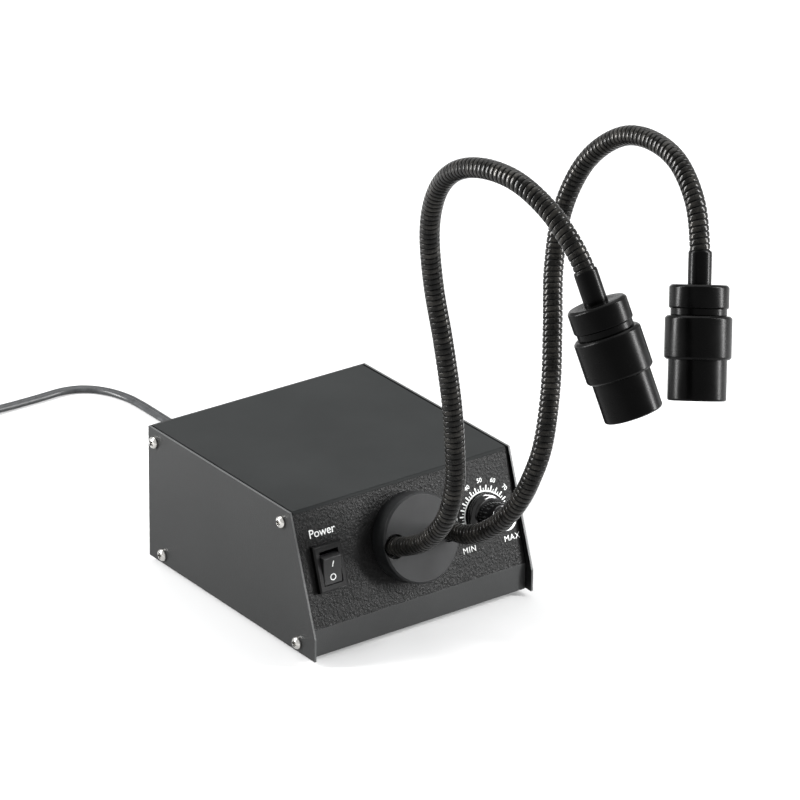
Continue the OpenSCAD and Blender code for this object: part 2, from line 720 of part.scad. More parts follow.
module bundle_tip() {
    color("#c3c6ca") on_panel(0, hub_s) translate([0, 0, merge_z - 2 - tip_l]) difference() {
        cylinder(d = tip_d, h = tip_l);
        translate([0, 0, -1]) cylinder(d = tip_d - 2 * tip_wall, h = tip_l + 0.7);
    }
}

module lens_holder() {
    color("#9b9ea3") on_panel(0, hub_s) difference() {
        translate([0, 0, holder_back]) cylinder(d = holder_d, h = holder_front - holder_back);
        translate([0, 0, merge_z - 2 - tip_l]) cylinder(d = tip_d + drop_gap, h = 30);
        translate([0, 0, holder_back - 1])
            cylinder(d = condenser_d + drop_gap, h = lens_z + condenser_edge / 2 - holder_back + 1);
        translate([0, 0, lens_z]) cylinder(d = condenser_d - 3, h = 4.5);
    }
}

module condenser_lens() {
    r = condenser_d / 2;
    bulge_r = (r * r + condenser_rise * condenser_rise) / (2 * condenser_rise);
    color("#d6ecf5", 0.5) on_panel(0, hub_s) translate([0, 0, lens_z]) rotate_extrude() polygon([
        for (a = [0 : 6]) let (q = a / 6 * (r - condenser_rim))
            [q, -condenser_edge / 2 - condenser_rise + bulge_r - sqrt(bulge_r * bulge_r - q * q)],
        [r, -condenser_edge / 2], [r, condenser_edge / 2], [0, condenser_edge / 2]]);
}

module led_module() {
    color("#e9e6d2") on_panel(0, hub_s) translate([0, 0, sink_front]) {
        cylinder(d = led_d, h = led_t);
        translate([-chip_w / 2, -chip_w / 2, led_t - eps]) cube([chip_w, chip_w, chip_t]);
    }
}

module heat_sink() {
    pitch = (sink_w - fin_t) / (fin_count - 1);
    color("#7f8489") on_panel(0, hub_s) {
        translate([-sink_w / 2, -sink_w / 2, sink_front - sink_base]) cube([sink_w, sink_w, sink_base]);
        for (i = [0 : fin_count - 1])
            translate([-sink_w / 2 + i * pitch, -sink_w / 2, sink_back]) cube([fin_t, sink_w, fin_l + eps]);
    }
}

// Bent sheet bracket that carries the heat sink on the base plate
bracket_w = 16;
bracket_t = 1.2;
module lamp_bracket() {
    low = panel_point(0, hub_s - sink_w / 2 - bracket_t, sink_front - 1);
    back = panel_point(0, hub_s - sink_w / 2 - bracket_t, sink_back + 4);
    floor_z = z0 + sheet_t;
    color("#8b8e92") across(-bracket_w / 2, bracket_w / 2)
        polygon(sheet_outline([
            [low[1] - 12, floor_z], [low[1], floor_z], [low[1], low[2]], [back[1], back[2]]], bracket_t));
}

// ---- Fan on the rear panel

module fan_corners() {
    for (sx = [-1, 1]) for (sz = [-1, 1])
        translate([fan_x + sx * fan_hole_pitch / 2, y_rear, fan_z + sz * fan_hole_pitch / 2])
            rotate([-90, 0, 0]) children();
}

module on_fan() {
    translate([fan_x, fan_y - fan_t, fan_z]) rotate([-90, 0, 0]) children();
}

module fan_frame() {
    color("#202225") difference() {
        union() {
            on_fan() difference() {
                translate([-fan_w / 2, -fan_w / 2, 0]) cube([fan_w, fan_w, fan_t]);
                translate([0, 0, -1]) cylinder(d = fan_hole_d, h = fan_t + 2, $fn = 72);
            }
            on_fan() cylinder(d = rotor_hub_d, h = spider_t);
            on_fan() for (a = [0 : 3]) rotate([0, 0, 45 + a * 90])
                translate([0, -1, 0]) cube([fan_hole_d / 2 + 0.6, 2, spider_t]);
            on_fan() cylinder(d = rotor_shaft_d, h = rotor_lift + rotor_bore_l - 0.4, $fn = 24);
        }
        fan_corners() translate([0, 0, -fan_t - 3]) cylinder(d = screw_clear_d, h = fan_t + 6, $fn = 24);
    }
}

module fan_rotor() {
    blade_l = fan_hole_d / 2 - blade_gap - rotor_hub_d / 2 + 1;
    color("#2c2f33") on_fan() translate([0, 0, rotor_lift]) difference() {
        union() {
            cylinder(d = rotor_hub_d, h = rotor_t);
            for (i = [0 : blade_count - 1]) rotate([0, 0, i * 360 / blade_count])
                translate([rotor_hub_d / 2 - 1, 0, rotor_t / 2]) rotate([38, 0, 0])
                    translate([0, -4.2, -0.5]) cube([blade_l, 8.4, 1]);
        }
        translate([0, 0, -1]) cylinder(d = rotor_shaft_d + 2 * run_gap, h = rotor_bore_l + 1, $fn = 24);
    }
}

module fan_screws() {
    color("#9a9da1") fan_corners() pan_screw(8);
}

// ---- Driver board

board_holes = [[-1, -1], [-1, 1], [1, -1], [1, 1]];
module board_corners(z) {
    for (q = board_holes)
        translate([
            board_x + q[0] * (board_w / 2 - board_hole_inset),
            board_y + q[1] * (board_d / 2 - board_hole_inset), z]) children();
}

module driver_board() {
    color("#2f6b3c") difference() {
        translate([board_x - board_w / 2, board_y - board_d / 2, board_z]) cube([board_w, board_d, board_t]);
        board_corners(board_z - 1) cylinder(d = screw_clear_d, h = board_t + 2, $fn = 24);
    }
}

module board_parts() {
    top = board_z + board_t;
    color("#3a3f46") {
        translate([board_x - 12, board_y - 8, top]) cube([24, 22, 18]);
        for (i = [0 : 2]) translate([board_x - 13 + i * 12, board_y - 20, top]) cylinder(d = 9, h = 15);
        translate([board_x - 10, board_y + 20, top]) cube([20, 8, 10]);
        translate([board_x - 17, board_y - 8, top]) cube([3, 14, 12]);
    }
}

module board_standoffs() {
    color("#b08d3c") board_corners(z0 + sheet_t) difference() {
        cylinder(d = 6, h = standoff_h, $fn = 32);
        translate([0, 0, 1]) cylinder(d = screw_bite_d, h = standoff_h, $fn = 24);
    }
}

module board_screws() {
    color("#a9acb0") board_corners(board_z + board_t) pan_screw(5);
}

// ---- Mains lead

module strain_relief() {
    color("#141414") translate([boot_x, y_rear, boot_z]) rotate([-90, 0, 0]) difference() {
        rotate_extrude() polygon([
            [0, -boot_tail], [boot_root_d / 2 + 0.8, -boot_tail], [boot_root_d / 2 + 0.8, -sheet_t],
            [boot_root_d / 2, -sheet_t], [boot_root_d / 2, 0], [boot_flange_d / 2, 0],
            [boot_flange_d / 2 - 0.5, 2], [boot_root_d / 2, 2],
            [boot_end_d / 2, boot_l - 0.5], [0, boot_l - 0.5]]);
        for (i = [0 : 3]) translate([0, 0, 6 + i * 4.4]) difference() {
            cylinder(d = boot_flange_d, h = 1.6);
            translate([0, 0, -1]) cylinder(d = boot_end_d - 0.6 + (3 - i) * 0.4, h = 4);
        }
    }
}

module mains_lead() {
    rings = 44;
    color("#17181a") through([for (i = [0 : rings]) let (s = lead_curve[0] * i / rings)
        ring(at(lead_curve, s), heading(lead_curve, s), [0, 0, 1], flat_shape8(lead_w, lead_t))], false);
}

// The coil: in along the lower layer, up a layer in half a turn, and out along the upper one
function ease(t) = let (q = max(0, min(1, t))) q * q * (3 - 2 * q);
function coil_radius(u) = coil_r - coil_pitch * (u < coil_turns + 0.25 ? u : coil_total - u)
    + peel * ease((u - coil_total + peel_turn) / peel_turn);
function coil_height(u) = coil_z + coil_layer * max(0, min(1, (u - coil_turns) * 2))
    + (plug_z - coil_z - coil_layer) * ease((u - coil_total + peel_turn) / peel_turn);
function coil_point(u) = let (a = 270 - 360 * u, r = coil_radius(u))
    [coil_centre[0] + r * cos(a), coil_centre[1] + r * sin(a), coil_height(u)];
coil_points = concat(
    [[coil_start[0], coil_start[1], coil_z]],
    [for (i = [0 : coil_total * coil_steps]) coil_point(i / coil_steps)],
    [[coil_centre[0] + lead_w, coil_centre[1] + coil_radius(coil_total), plug_z]]);
function point_heading(p, i) = unit(p[min(i + 1, len(p) - 1)] - p[max(i - 1, 0)]);
function coil_heading(i) = i == 0 ? [-1, 0, 0]
    : i == len(coil_points) - 1 ? [1, 0, 0] : point_heading(coil_points, i);
coil_rings = [for (i = [0 : len(coil_points) - 1])
    ring(coil_points[i], coil_heading(i), [0, 0, 1], flat_shape(lead_w, lead_t))];

module lead_coil() {
    color("#17181a") through(coil_rings, false);
}
function coil_gap() = min([for (i = [0 : len(coil_rings) - 1])
    for (j = [i + gap_point_step : len(coil_rings) - 1])
        if (norm(coil_points[i] - coil_points[j]) < 3 * lead_w)
            min([for (p = coil_rings[i]) for (q = coil_rings[j]) norm(p - q)])]);

module coil_tie() {
    side_turns = ceil(coil_turns);
    w = coil_pitch * (side_turns - 1) + lead_w;
    h = coil_layer + lead_t;
    mid = coil_r - coil_pitch * (0.25 + (side_turns - 1) / 2);
    color("#0f0f10") translate([coil_centre[0] - mid, coil_centre[1], coil_z + coil_layer / 2])
        rotate([90, 0, 0]) linear_extrude(tie_w, center = true) difference() {
            square([w + 2 * (tie_side_gap + tie_t), h + 2 * (tie_gap + tie_t)], center = true);
            square([w + 2 * tie_side_gap, h + 2 * tie_gap], center = true);
        }
}

module mains_plug() {
    y = coil_centre[1] + coil_radius(coil_total);
    color("#141516") translate([coil_centre[0] + lead_w, y, plug_z]) rotate([0, 90, 0]) {
        cylinder(d1 = 8, d2 = plug_neck_d, h = plug_boot_l);
        hull() {
            translate([0, 0, plug_boot_l - 1]) cylinder(d = plug_neck_d, h = 1, $fn = 32);
            for (s = [-1, 1]) translate([0, s * (plug_w - plug_t) / 2, plug_boot_l + plug_shoulder])
                cylinder(d = plug_t, h = plug_l - plug_boot_l - plug_shoulder, $fn = 32);
        }
        for (s = [-1, 1]) translate([0, s * plug_pin_pitch / 2, plug_l - 1])
            cylinder(d = plug_pin_d, h = plug_pin_l + 1, $fn = 24);
    }
}

// ---- Swan necks

neck_end_in = 4;
neck_start_z = hub_t - neck_in;
function hub_hole(side) = panel_point(side * neck_x, hub_s, hub_t);
function neck_curve(side) = side < 0 ? left_curve : right_curve;
function neck_from(side, k) = k == 0 ? 0 : neck_breaks[k - 1];
function neck_to(side, k) = k == neck_lengths - 1 ? neck_curve(side)[0] - neck_end_in : neck_breaks[k];

// A hose length: ribs outside, bore inside, and ends coned back so that it can tilt on its neighbour
module neck_length(side, k) {
    c = neck_curve(side);
    s0 = neck_from(side, k);
    s1 = neck_to(side, k);
    cone = tan(neck_bend / 2);
    mid_gap = 0.15;
    back0 = k == 0 ? 0 : 1;
    back1 = k == neck_lengths - 1 ? 0 : 1;
    r_out = neck_d / 2;
    r_in = neck_bore / 2;
    function low(r) = s0 + back0 * (r * cone + mid_gap);
    function high(r) = s1 - back1 * (r * cone + mid_gap);
    first = low(r_out);
    last = high(r_out);
    ribs = floor((last - first) / rib_pitch);
    pitch = (last - first) / ribs;
    bore_steps = ceil((s1 - s0) / 9);
    profile = concat(
        [for (i = [0 : ribs - 1]) each [
            [first + (i + 0.25) * pitch - (i == 0 ? 0.2 * pitch : 0), r_out],
            [first + (i + 0.75) * pitch, r_out - (i == ribs - 1 ? 0 : rib_depth)]]],
        [for (i = [0 : bore_steps]) [high(r_in) - (high(r_in) - low(r_in)) * i / bore_steps, r_in]]);
    fill = bundle_d / 2;
    fill_steps = ceil((s1 - s0) / 12);
    b0 = s0 + back0 * mid_gap;
    b1 = s1 - back1 * mid_gap;
    fill_profile = concat(
        back0 == 1 ? [[b0, 0.3]] : [],
        [for (i = [0 : fill_steps]) [low(fill) + (high(fill) - low(fill)) * i / fill_steps, fill]],
        back1 == 1 ? [[b1, 0.3]] : []);
    place = hub_hole(side);
    function round_ring(q) = ring(at(c, q[0]), heading(c, q[0]), [1, 0, 0], round_shape(q[1], 8));
    translate(place) {
        through([for (q = profile) round_ring(q)], true);
        through([for (q = fill_profile) round_ring(q)], false);
    }
}

module left_neck(k) { color("#1c1d1f") neck_length(-1, k); }
module right_neck(k) { color("#1c1d1f") neck_length(1, k); }

// ---- Heads, drawn along +z from the collar's top

function head_top(side) = hub_hole(side) + at(neck_curve(side), neck_curve(side)[0]);
function head_way(side) = let (c = neck_curve(side)) unit(at(c, c[0]) - at(c, c[0] - 8));
module on_head(side) {
    along(head_top(side), head_way(side)) children();
}

ferrule_wall = 0.5;
ferrule_d = neck_d + hose_gap + 2 * ferrule_wall;
ferrule_seat = 4;
groove_deep = 0.75;
groove_d = collar_d - 2 * groove_deep;
groove_l = 2.9;
barrel_top = collar_l + groove_l;
barrel_bottom = barrel_top + barrel_l;
spigot_d = groove_d - 4;
spigot_l = 3;
focus_hold = 5;
focus_in = focus_travel + focus_hold;
focus_wall = 2.25;
lens_d = focus_d - 2 * focus_wall;
lens_deep = 5.5;
lens_rim_t = 1.4;
lens_rise = 1.6;
lens_rim = 0.4;
light_bore = neck_bore + 1.6;

module ferrule(side) {
    color("#18191a") on_head(side) difference() {
        rotate_extrude() polygon([
            [0, ferrule_seat], [ferrule_d / 2, ferrule_seat], [ferrule_d / 2, -ferrule_l + 1],
            [ferrule_d / 2 - 0.3, -ferrule_l + 0.3], [ferrule_d / 2 - 0.5, -ferrule_l], [0, -ferrule_l]]);
        translate([0, 0, -ferrule_l - 1])
            cylinder(d = neck_d + hose_gap, h = ferrule_l + 1 - neck_end_in + hose_gap);
        translate([0, 0, -ferrule_l]) cylinder(d = neck_bore + hose_gap, h = ferrule_l + 10);
    }
}

module collar(side) {
    color("#18191a") on_head(side) difference() {
        rotate_extrude($fn = 72) polygon([
            [0, 0], [collar_d / 2 - 0.8, 0], [collar_d / 2, 0.8], [collar_d / 2, collar_l - 0.5],
            [collar_d / 2 - 0.5, collar_l], [groove_d / 2, collar_l], [groove_d / 2, barrel_top],
            [spigot_d / 2, barrel_top], [spigot_d / 2, barrel_top + spigot_l], [0, barrel_top + spigot_l]]);
        translate([0, 0, -1]) cylinder(d = ferrule_d + push_gap, h = 1 + ferrule_seat + 0.1);
        cylinder(d = light_bore, h = 40);
        translate([0, 0, ferrule_seat + 2]) cylinder(d = spigot_d - 4, h = 40);
    }
}

module barrel(side) {
    color("#18191a") on_head(side) difference() {
        rotate_extrude($fn = 72) polygon([
            [0, barrel_top], [barrel_d / 2 - 1, barrel_top], [barrel_d / 2, barrel_top + 1],
            [barrel_d / 2, barrel_bottom - 1], [barrel_d / 2 - 1, barrel_bottom], [0, barrel_bottom]]);
        translate([0, 0, barrel_top - 1]) cylinder(d = spigot_d + drop_gap, h = 40, $fn = 72);
        translate([0, 0, barrel_top + spigot_l + 0.5]) cylinder(d = focus_d + 2 * run_gap, h = 40, $fn = 72);
    }
}

module focus_tube(side) {
    z_in = barrel_bottom - focus_in;
    z_out = barrel_bottom + focus_l;
    color("#18191a") on_head(side) difference() {
        rotate_extrude($fn = 72) polygon([
            [0, z_in], [focus_d / 2, z_in], [focus_d / 2, z_out - 0.5], [focus_d / 2 - 0.5, z_out], [0, z_out]]);
        translate([0, 0, z_in - 1]) cylinder(d = lens_d - 2, h = 60, $fn = 72);
        translate([0, 0, z_out - lens_deep]) cylinder(d = lens_d + drop_gap, h = 30, $fn = 72);
    }
}

module head_lens(side) {
    z_out = barrel_bottom + focus_l;
    r = lens_d / 2;
    bulge_r = (r * r + lens_rise * lens_rise) / (2 * lens_rise);
    color("#cfe4ee", 0.5) on_head(side) translate([0, 0, z_out - lens_deep]) rotate_extrude() polygon([
        [0, 0], [r, 0], [r, lens_rim_t],
        for (a = [6 : -1 : 0]) let (q = a / 6 * (r - lens_rim))
            [q, lens_rim_t + lens_rise - bulge_r + sqrt(bulge_r * bulge_r - q * q)]]);
}

module left_ferrule() { ferrule(-1); }
module left_collar() { collar(-1); }
module left_barrel() { barrel(-1); }
module left_focus_tube() { focus_tube(-1); }
module left_lens() { head_lens(-1); }
module right_ferrule() { ferrule(1); }
module right_collar() { collar(1); }
module right_barrel() { barrel(1); }
module right_focus_tube() { focus_tube(1); }
module right_lens() { head_lens(1); }

echo(least_gap_in_coil_mm = coil_gap());  // lead_coil

left_side_plate();
right_side_plate();
top_cover();
front_panel();
rear_panel();
base_plate();
side_screws();
rubber_feet();
foot_screws();
switch_body();
switch_rocker();
dimmer_potentiometer();
potentiometer_nut();
potentiometer_shaft();
dimmer_knob();
knob_set_screw();
light_guide_hub();
hub_clamp_plate();
hub_screws();
fibre_bundle();
bundle_tip();
lens_holder();
condenser_lens();
led_module();
heat_sink();
lamp_bracket();
fan_frame();
fan_rotor();
fan_screws();
driver_board();
board_parts();
board_standoffs();
board_screws();
strain_relief();
mains_lead();
lead_coil();
coil_tie();
mains_plug();
left_neck(0);  // left_neck_1
left_neck(1);  // left_neck_2
left_neck(2);  // left_neck_3
left_neck(3);  // left_neck_4
left_neck(4);  // left_neck_5
left_neck(5);  // left_neck_6
right_neck(0);  // right_neck_1
right_neck(1);  // right_neck_2
right_neck(2);  // right_neck_3
right_neck(3);  // right_neck_4
right_neck(4);  // right_neck_5
right_neck(5);  // right_neck_6
left_ferrule();
left_collar();
left_barrel();
left_focus_tube();
left_lens();
right_ferrule();
right_collar();
right_barrel();
right_focus_tube();
right_lens();
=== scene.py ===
import math

import bmesh
import bpy
from mathutils import Matrix, Quaternion, Vector


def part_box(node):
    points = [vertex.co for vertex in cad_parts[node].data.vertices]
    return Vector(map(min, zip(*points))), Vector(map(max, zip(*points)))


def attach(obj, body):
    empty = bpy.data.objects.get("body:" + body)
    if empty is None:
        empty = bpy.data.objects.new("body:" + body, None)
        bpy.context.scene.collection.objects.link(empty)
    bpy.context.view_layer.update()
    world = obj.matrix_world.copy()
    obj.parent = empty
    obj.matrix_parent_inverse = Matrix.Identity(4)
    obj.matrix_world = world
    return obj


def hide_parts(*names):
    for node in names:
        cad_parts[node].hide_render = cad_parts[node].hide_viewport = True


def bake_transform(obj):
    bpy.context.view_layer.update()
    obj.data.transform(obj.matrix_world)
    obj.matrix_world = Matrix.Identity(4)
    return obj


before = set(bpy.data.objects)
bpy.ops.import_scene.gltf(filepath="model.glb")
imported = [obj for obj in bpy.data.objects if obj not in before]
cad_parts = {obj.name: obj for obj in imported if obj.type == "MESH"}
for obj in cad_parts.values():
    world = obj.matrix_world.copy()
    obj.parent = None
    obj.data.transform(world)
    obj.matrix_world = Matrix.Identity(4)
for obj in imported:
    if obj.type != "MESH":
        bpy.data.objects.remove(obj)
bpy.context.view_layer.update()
mm = 0.001
print("frame loaded:", len(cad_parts), "CAD nodes")


# shader maths on sockets
class Wire:
    def __init__(self, finish, socket):
        self.finish = finish
        self.socket = socket

    def sums(self, operation, first, second):
        return self.finish.node("ShaderNodeMath", {"operation": operation}, {0: first, 1: second})

    def __add__(self, other):
        return self.sums("ADD", self, other)

    def __radd__(self, other):
        return self.sums("ADD", other, self)

    def __sub__(self, other):
        return self.sums("SUBTRACT", self, other)

    def __rsub__(self, other):
        return self.sums("SUBTRACT", other, self)

    def __mul__(self, other):
        return self.sums("MULTIPLY", self, other)

    def __rmul__(self, other):
        return self.sums("MULTIPLY", other, self)


class Finish:
    def __init__(self, owner):
        owner.use_nodes = True
        self.owner = owner
        self.tree = owner.node_tree
        self.tree.nodes.clear()

    # one node: settings first, then values or links on its sockets
    def node(self, kind, settings=None, sockets=None, output=0):
        made = self.tree.nodes.new(kind)
        for key, value in (settings or {}).items():
            if key == "stops":
                stops = made.color_ramp.elements
                while len(stops) < len(value):
                    stops.new(1.0)
                for stop, (place, shade) in zip(stops, value):
                    stop.position = place
                    stop.color = shade if len(shade) == 4 else (*shade, 1)
            else:
                setattr(made, key, value)
        for key, value in (sockets or {}).items():
            if isinstance(value, Wire):
                self.tree.links.new(value.socket, made.inputs[key])
            else:
                made.inputs[key].default_value = value
        return Wire(self, made.outputs[output]) if made.outputs else None

    def spot(self, stretch=(1, 1, 1)):
        coords = self.node("ShaderNodeTexCoord", output="Object")
        return self.node("ShaderNodeMapping", None, {"Vector": coords, "Scale": stretch})

    def noise(self, size, detail, rough, where=None, warp=0):
        where = where or self.spot()
        return self.node("ShaderNodeTexNoise", None, {
            "Vector": where, "Scale": 1 / size, "Detail": detail, "Roughness": rough, "Distortion": warp})

    def span(self, value, low, high, newLow=0.0, newHigh=1.0):
        return self.node("ShaderNodeMapRange", {"clamp": True}, {
            "Value": value, "From Min": low, "From Max": high, "To Min": newLow, "To Max": newHigh})

    def mix(self, factor, first, second):
        first, second = [
            shade if isinstance(shade, Wire) else (*shade, 1) for shade in (first, second)]
        return self.node("ShaderNodeMix", {"data_type": "RGBA"}, {0: factor, 6: first, 7: second}, 2)

    def bump(self, height, depth, under=None):
        sockets = {"Height": height, "Distance": depth}
        if under:
            sockets["Normal"] = under
        return self.node("ShaderNodeBump", None, sockets)

    def done(self, **sockets):
        named = {key.replace("_", " "): value for key, value in sockets.items()}
        for key in ("Base Color", "Emission Color"):
            if key in named and not isinstance(named[key], Wire):
                named[key] = (*named[key], 1)
        skin = self.node("ShaderNodeBsdfPrincipled", None, named)
        self.node("ShaderNodeOutputMaterial", None, {"Surface": skin})
        return self.owner


def newFinish(name):
    return Finish(bpy.data.materials.new(name))


# powder coat on the folded sheets: fine orange peel, a little cloudiness, dust in the pores
satinSheet = {
    "dark": (0.0115, 0.012, 0.012), "pale": (0.0135, 0.0141, 0.0141), "dust": (0.03, 0.031, 0.032),
    "cloud": 0.045, "peel": 0.0007, "peelDepth": 0.00003, "grit": 0.00022, "gritDepth": 0.000012,
}


# lift scales the coat's colour; above the side plates' 0.6 it makes paler copies of one coat that carry
# painted light
def makeSatinSheet(name, lift, roughness, specular):
    made = newFinish(name)
    cloud = made.noise(satinSheet["cloud"], 3, 0.55)
    peel = made.noise(satinSheet["peel"], 2, 0.4)
    grit = made.noise(satinSheet["grit"], 1, 0.5)
    dark, pale = [[c * lift for c in satinSheet[kind]] for kind in ("dark", "pale")]
    tone = made.mix(made.span(cloud, 0.3, 0.7), dark, pale)
    fleck = made.span(grit, 0.62, 0.78, 0, 0.35)
    tone = made.mix(fleck, tone, satinSheet["dust"])
    rough = made.span(cloud, 0.25, 0.75, roughness - 0.04, roughness + 0.05) + (peel - 0.5) * 0.08
    normal = made.bump(peel, satinSheet["peelDepth"], made.bump(grit, satinSheet["gritDepth"]))
    return made.done(Base_Color=tone, Roughness=rough, Specular_IOR_Level=specular, Normal=normal)


# wrinkle paint on the sloping face; its hollows are painted darker and its crests paler, as painted shade and
# highlight
wrinkle = {
    "size": 0.0010, "depth": 0.00042, "specular": 0.13,
    "dark": (0.0012, 0.0012, 0.0012), "pale": (0.0045, 0.0047, 0.0047),
}


def makeWrinklePanel():
    made = newFinish("wrinklePaint")
    where = made.spot()
    folds = made.noise(wrinkle["size"], 4, 0.62, where, 0.9)
    ridge = made.node("ShaderNodeTexVoronoi", {"feature": "SMOOTH_F1"}, {
        "Vector": where, "Scale": 1 / (wrinkle["size"] * 1.3), "Smoothness": 0.7, "Randomness": 1.0})
    height = folds * 0.7 + (1 - ridge) * 0.4
    crest = made.span(height, 0.42, 0.85)
    # hollows darker, crests paler: painted shade and highlight
    tone = made.mix(crest, wrinkle["dark"], wrinkle["pale"])
    rough = made.span(crest, 0, 1, 0.48, 0.30)
    return made.done(Base_Color=tone, Roughness=rough, Specular_IOR_Level=wrinkle["specular"],
                     Normal=made.bump(height, wrinkle["depth"]))


# black anodised turning: the cutter's fine rings show in the UV map's second direction
anodised = {
    "tone": (0.0005, 0.0005, 0.0005), "worn": (0.0012, 0.0012, 0.0012), "roughness": 0.26, "specular": 0.055,
    "feed": 0.00016, "feedDepth": 0.000004,
}


def makeAnodised():
    made = newFinish("blackAnodised")
    turned = made.node("ShaderNodeUVMap", {"uv_map": "turned"})
    where = made.node("ShaderNodeMapping", None, {"Vector": turned, "Scale": (3, 1 / anodised["feed"], 1)})
    rings = made.node("ShaderNodeTexNoise", {"noise_dimensions": "2D"}, {
        "Vector": where, "Scale": 1.0, "Detail": 2.0, "Roughness": 0.6})
    haze = made.noise(0.012, 3, 0.5)
    tone = made.mix(made.span(haze, 0.35, 0.7), anodised["tone"], anodised["worn"])
    smooth = anodised["roughness"]
    rough = made.span(haze, 0.3, 0.7, smooth - 0.03, smooth + 0.05) + (rings - 0.5) * 0.06
    return made.done(Base_Color=tone, Roughness=rough, Specular_IOR_Level=anodised["specular"],
                     Normal=made.bump(rings, anodised["feedDepth"]))


# blackened steel hose: grooves painted darker than the crests as painted shade, and crests rubbed paler and
# browner in patches as wear
hoseTone = {
    "groove": (0.0003, 0.0003, 0.0003), "crest": (0.003, 0.0029, 0.0026), "rubbed": (0.05, 0.047, 0.042),
    "wear": 0.6, "specular": 0.12,
}


def makeHoseMetal():
    made = newFinish("blackenedHose")
    height = made.node("ShaderNodeAttribute", {"attribute_name": "crest"}, None, "Fac")
    patch = made.noise(0.006, 4, 0.6)
    scuff = made.noise(0.0006, 3, 0.6)
    # the groove-to-crest tone is painted shade in the grooves
    tone = made.mix(made.span(height, 0.2, 0.85), hoseTone["groove"], hoseTone["crest"])
    worn = made.span(height, 0.8, 1.0) * made.span(patch * 0.6 + scuff * 0.4, 0.46, 0.66)
    tone = made.mix(worn * hoseTone["wear"], tone, hoseTone["rubbed"])
    rough = made.span(height, 0, 1, 0.7, 0.2) + (scuff - 0.5) * 0.14
    return made.done(Base_Color=tone, Roughness=rough, Metallic=made.span(worn, 0, 1, 0.1, 0.6),
                     Specular_IOR_Level=hoseTone["specular"], Normal=made.bump(scuff, 0.00002))


# moulded black plastics; grain is the size of the mould's spark texture
def makePlastic(name, tone, roughness, grain, depth, specular=0.5):
    made = newFinish(name)
    cloud = made.noise(0.01, 2, 0.5)
    spark = made.noise(grain, 2, 0.6)
    paler = [c * 1.5 + 0.002 for c in tone]
    base = made.mix(made.span(cloud, 0.3, 0.7), tone, paler)
    rough = made.span(spark, 0.3, 0.7, roughness - 0.04, roughness + 0.06)
    return made.done(Base_Color=base, Roughness=rough, Specular_IOR_Level=specular,
                     Normal=made.bump(spark, depth))


# rubber and PVC: dull, with a bloom of paler dust
def makeRubber(name, tone, roughness=0.55, specular=0.2):
    made = newFinish(name)
    bloom = made.noise(0.004, 4, 0.65)
    skin = made.noise(0.0004, 2, 0.5)
    dusty = [c * 2.2 + 0.006 for c in tone]
    base = made.mix(made.span(bloom, 0.45, 0.8, 0, 0.6), tone, dusty)
    rough = made.span(bloom, 0.3, 0.7, roughness - 0.06, roughness + 0.08)
    return made.done(Base_Color=base, Roughness=rough, Specular_IOR_Level=specular,
                     Normal=made.bump(skin, 0.00002))


# bare and plated metals: stretch sets the direction of the brushing or drawing
def makeMetal(name, tone, roughness, stretch=(1, 1, 1), grain=0.0003, depth=0.000006):
    made = newFinish(name)
    lines = made.noise(grain, 3, 0.6, made.spot(stretch))
    stain = made.noise(0.004, 3, 0.6)
    stained = [c * 0.78 for c in tone]
    base = made.mix(made.span(stain, 0.35, 0.75), tone, stained)
    rough = made.span(lines, 0.3, 0.7, roughness - 0.06, roughness + 0.08)
    return made.done(Base_Color=base, Roughness=rough, Metallic=1.0, Normal=made.bump(lines, depth))


# screen print, a little thin in spots
printTone = {"full": (0.66, 0.67, 0.66), "thin": (0.54, 0.55, 0.54)}


def makeWhitePrint():
    made = newFinish("whitePrint")
    thin = made.noise(0.0006, 3, 0.6)
    tone = made.mix(made.span(thin, 0.42, 0.75), printTone["full"], printTone["thin"])
    return made.done(Base_Color=tone, Roughness=made.span(thin, 0.3, 0.7, 0.5, 0.62))


def makeLensGlass():
    made = newFinish("lensGlass")
    smear = made.noise(0.005, 3, 0.6)
    return made.done(Base_Color=(0.93, 0.97, 1.0), Roughness=made.span(smear, 0.4, 0.8, 0.02, 0.09),
                     Transmission_Weight=1.0, IOR=1.52)


def makeBoard():
    made = newFinish("boardGreen")
    cells = made.node("ShaderNodeTexVoronoi", {"distance": "CHEBYCHEV"}, {
        "Vector": made.spot(), "Scale": 260.0, "Randomness": 0.8})
    tracks = made.span(cells, 0.28, 0.3)
    tone = made.mix(tracks, (0.02, 0.11, 0.04), (0.035, 0.17, 0.06))
    return made.done(Base_Color=tone, Roughness=0.38, Normal=made.bump(tracks, 0.00003))


def makeLedCeramic():
    made = newFinish("ledCeramic")
    cloud = made.noise(0.0015, 3, 0.6)
    tone = made.mix(made.span(cloud, 0.3, 0.7), (0.82, 0.80, 0.66), (0.74, 0.70, 0.5))
    return made.done(Base_Color=tone, Roughness=made.span(cloud, 0.3, 0.7, 0.4, 0.55))


def makeComponents():
    made = newFinish("componentMix")
    blocks = made.noise(0.011, 1, 0.4)
    tone = made.node("ShaderNodeValToRGB", {"stops": [
        (0.40, (0.02, 0.02, 0.025)), (0.52, (0.03, 0.05, 0.12))]}, {0: blocks})
    return made.done(Base_Color=tone, Roughness=made.span(blocks, 0.3, 0.7, 0.35, 0.55))


def makeFibre():
    made = newFinish("fibreStrands")
    strands = made.noise(0.0005, 3, 0.6, made.spot((1, 1, 0.05)))
    tone = made.mix(made.span(strands, 0.3, 0.7), (0.70, 0.66, 0.52), (0.5, 0.46, 0.34))
    return made.done(Base_Color=tone, Roughness=0.35, Normal=made.bump(strands, 0.00005))


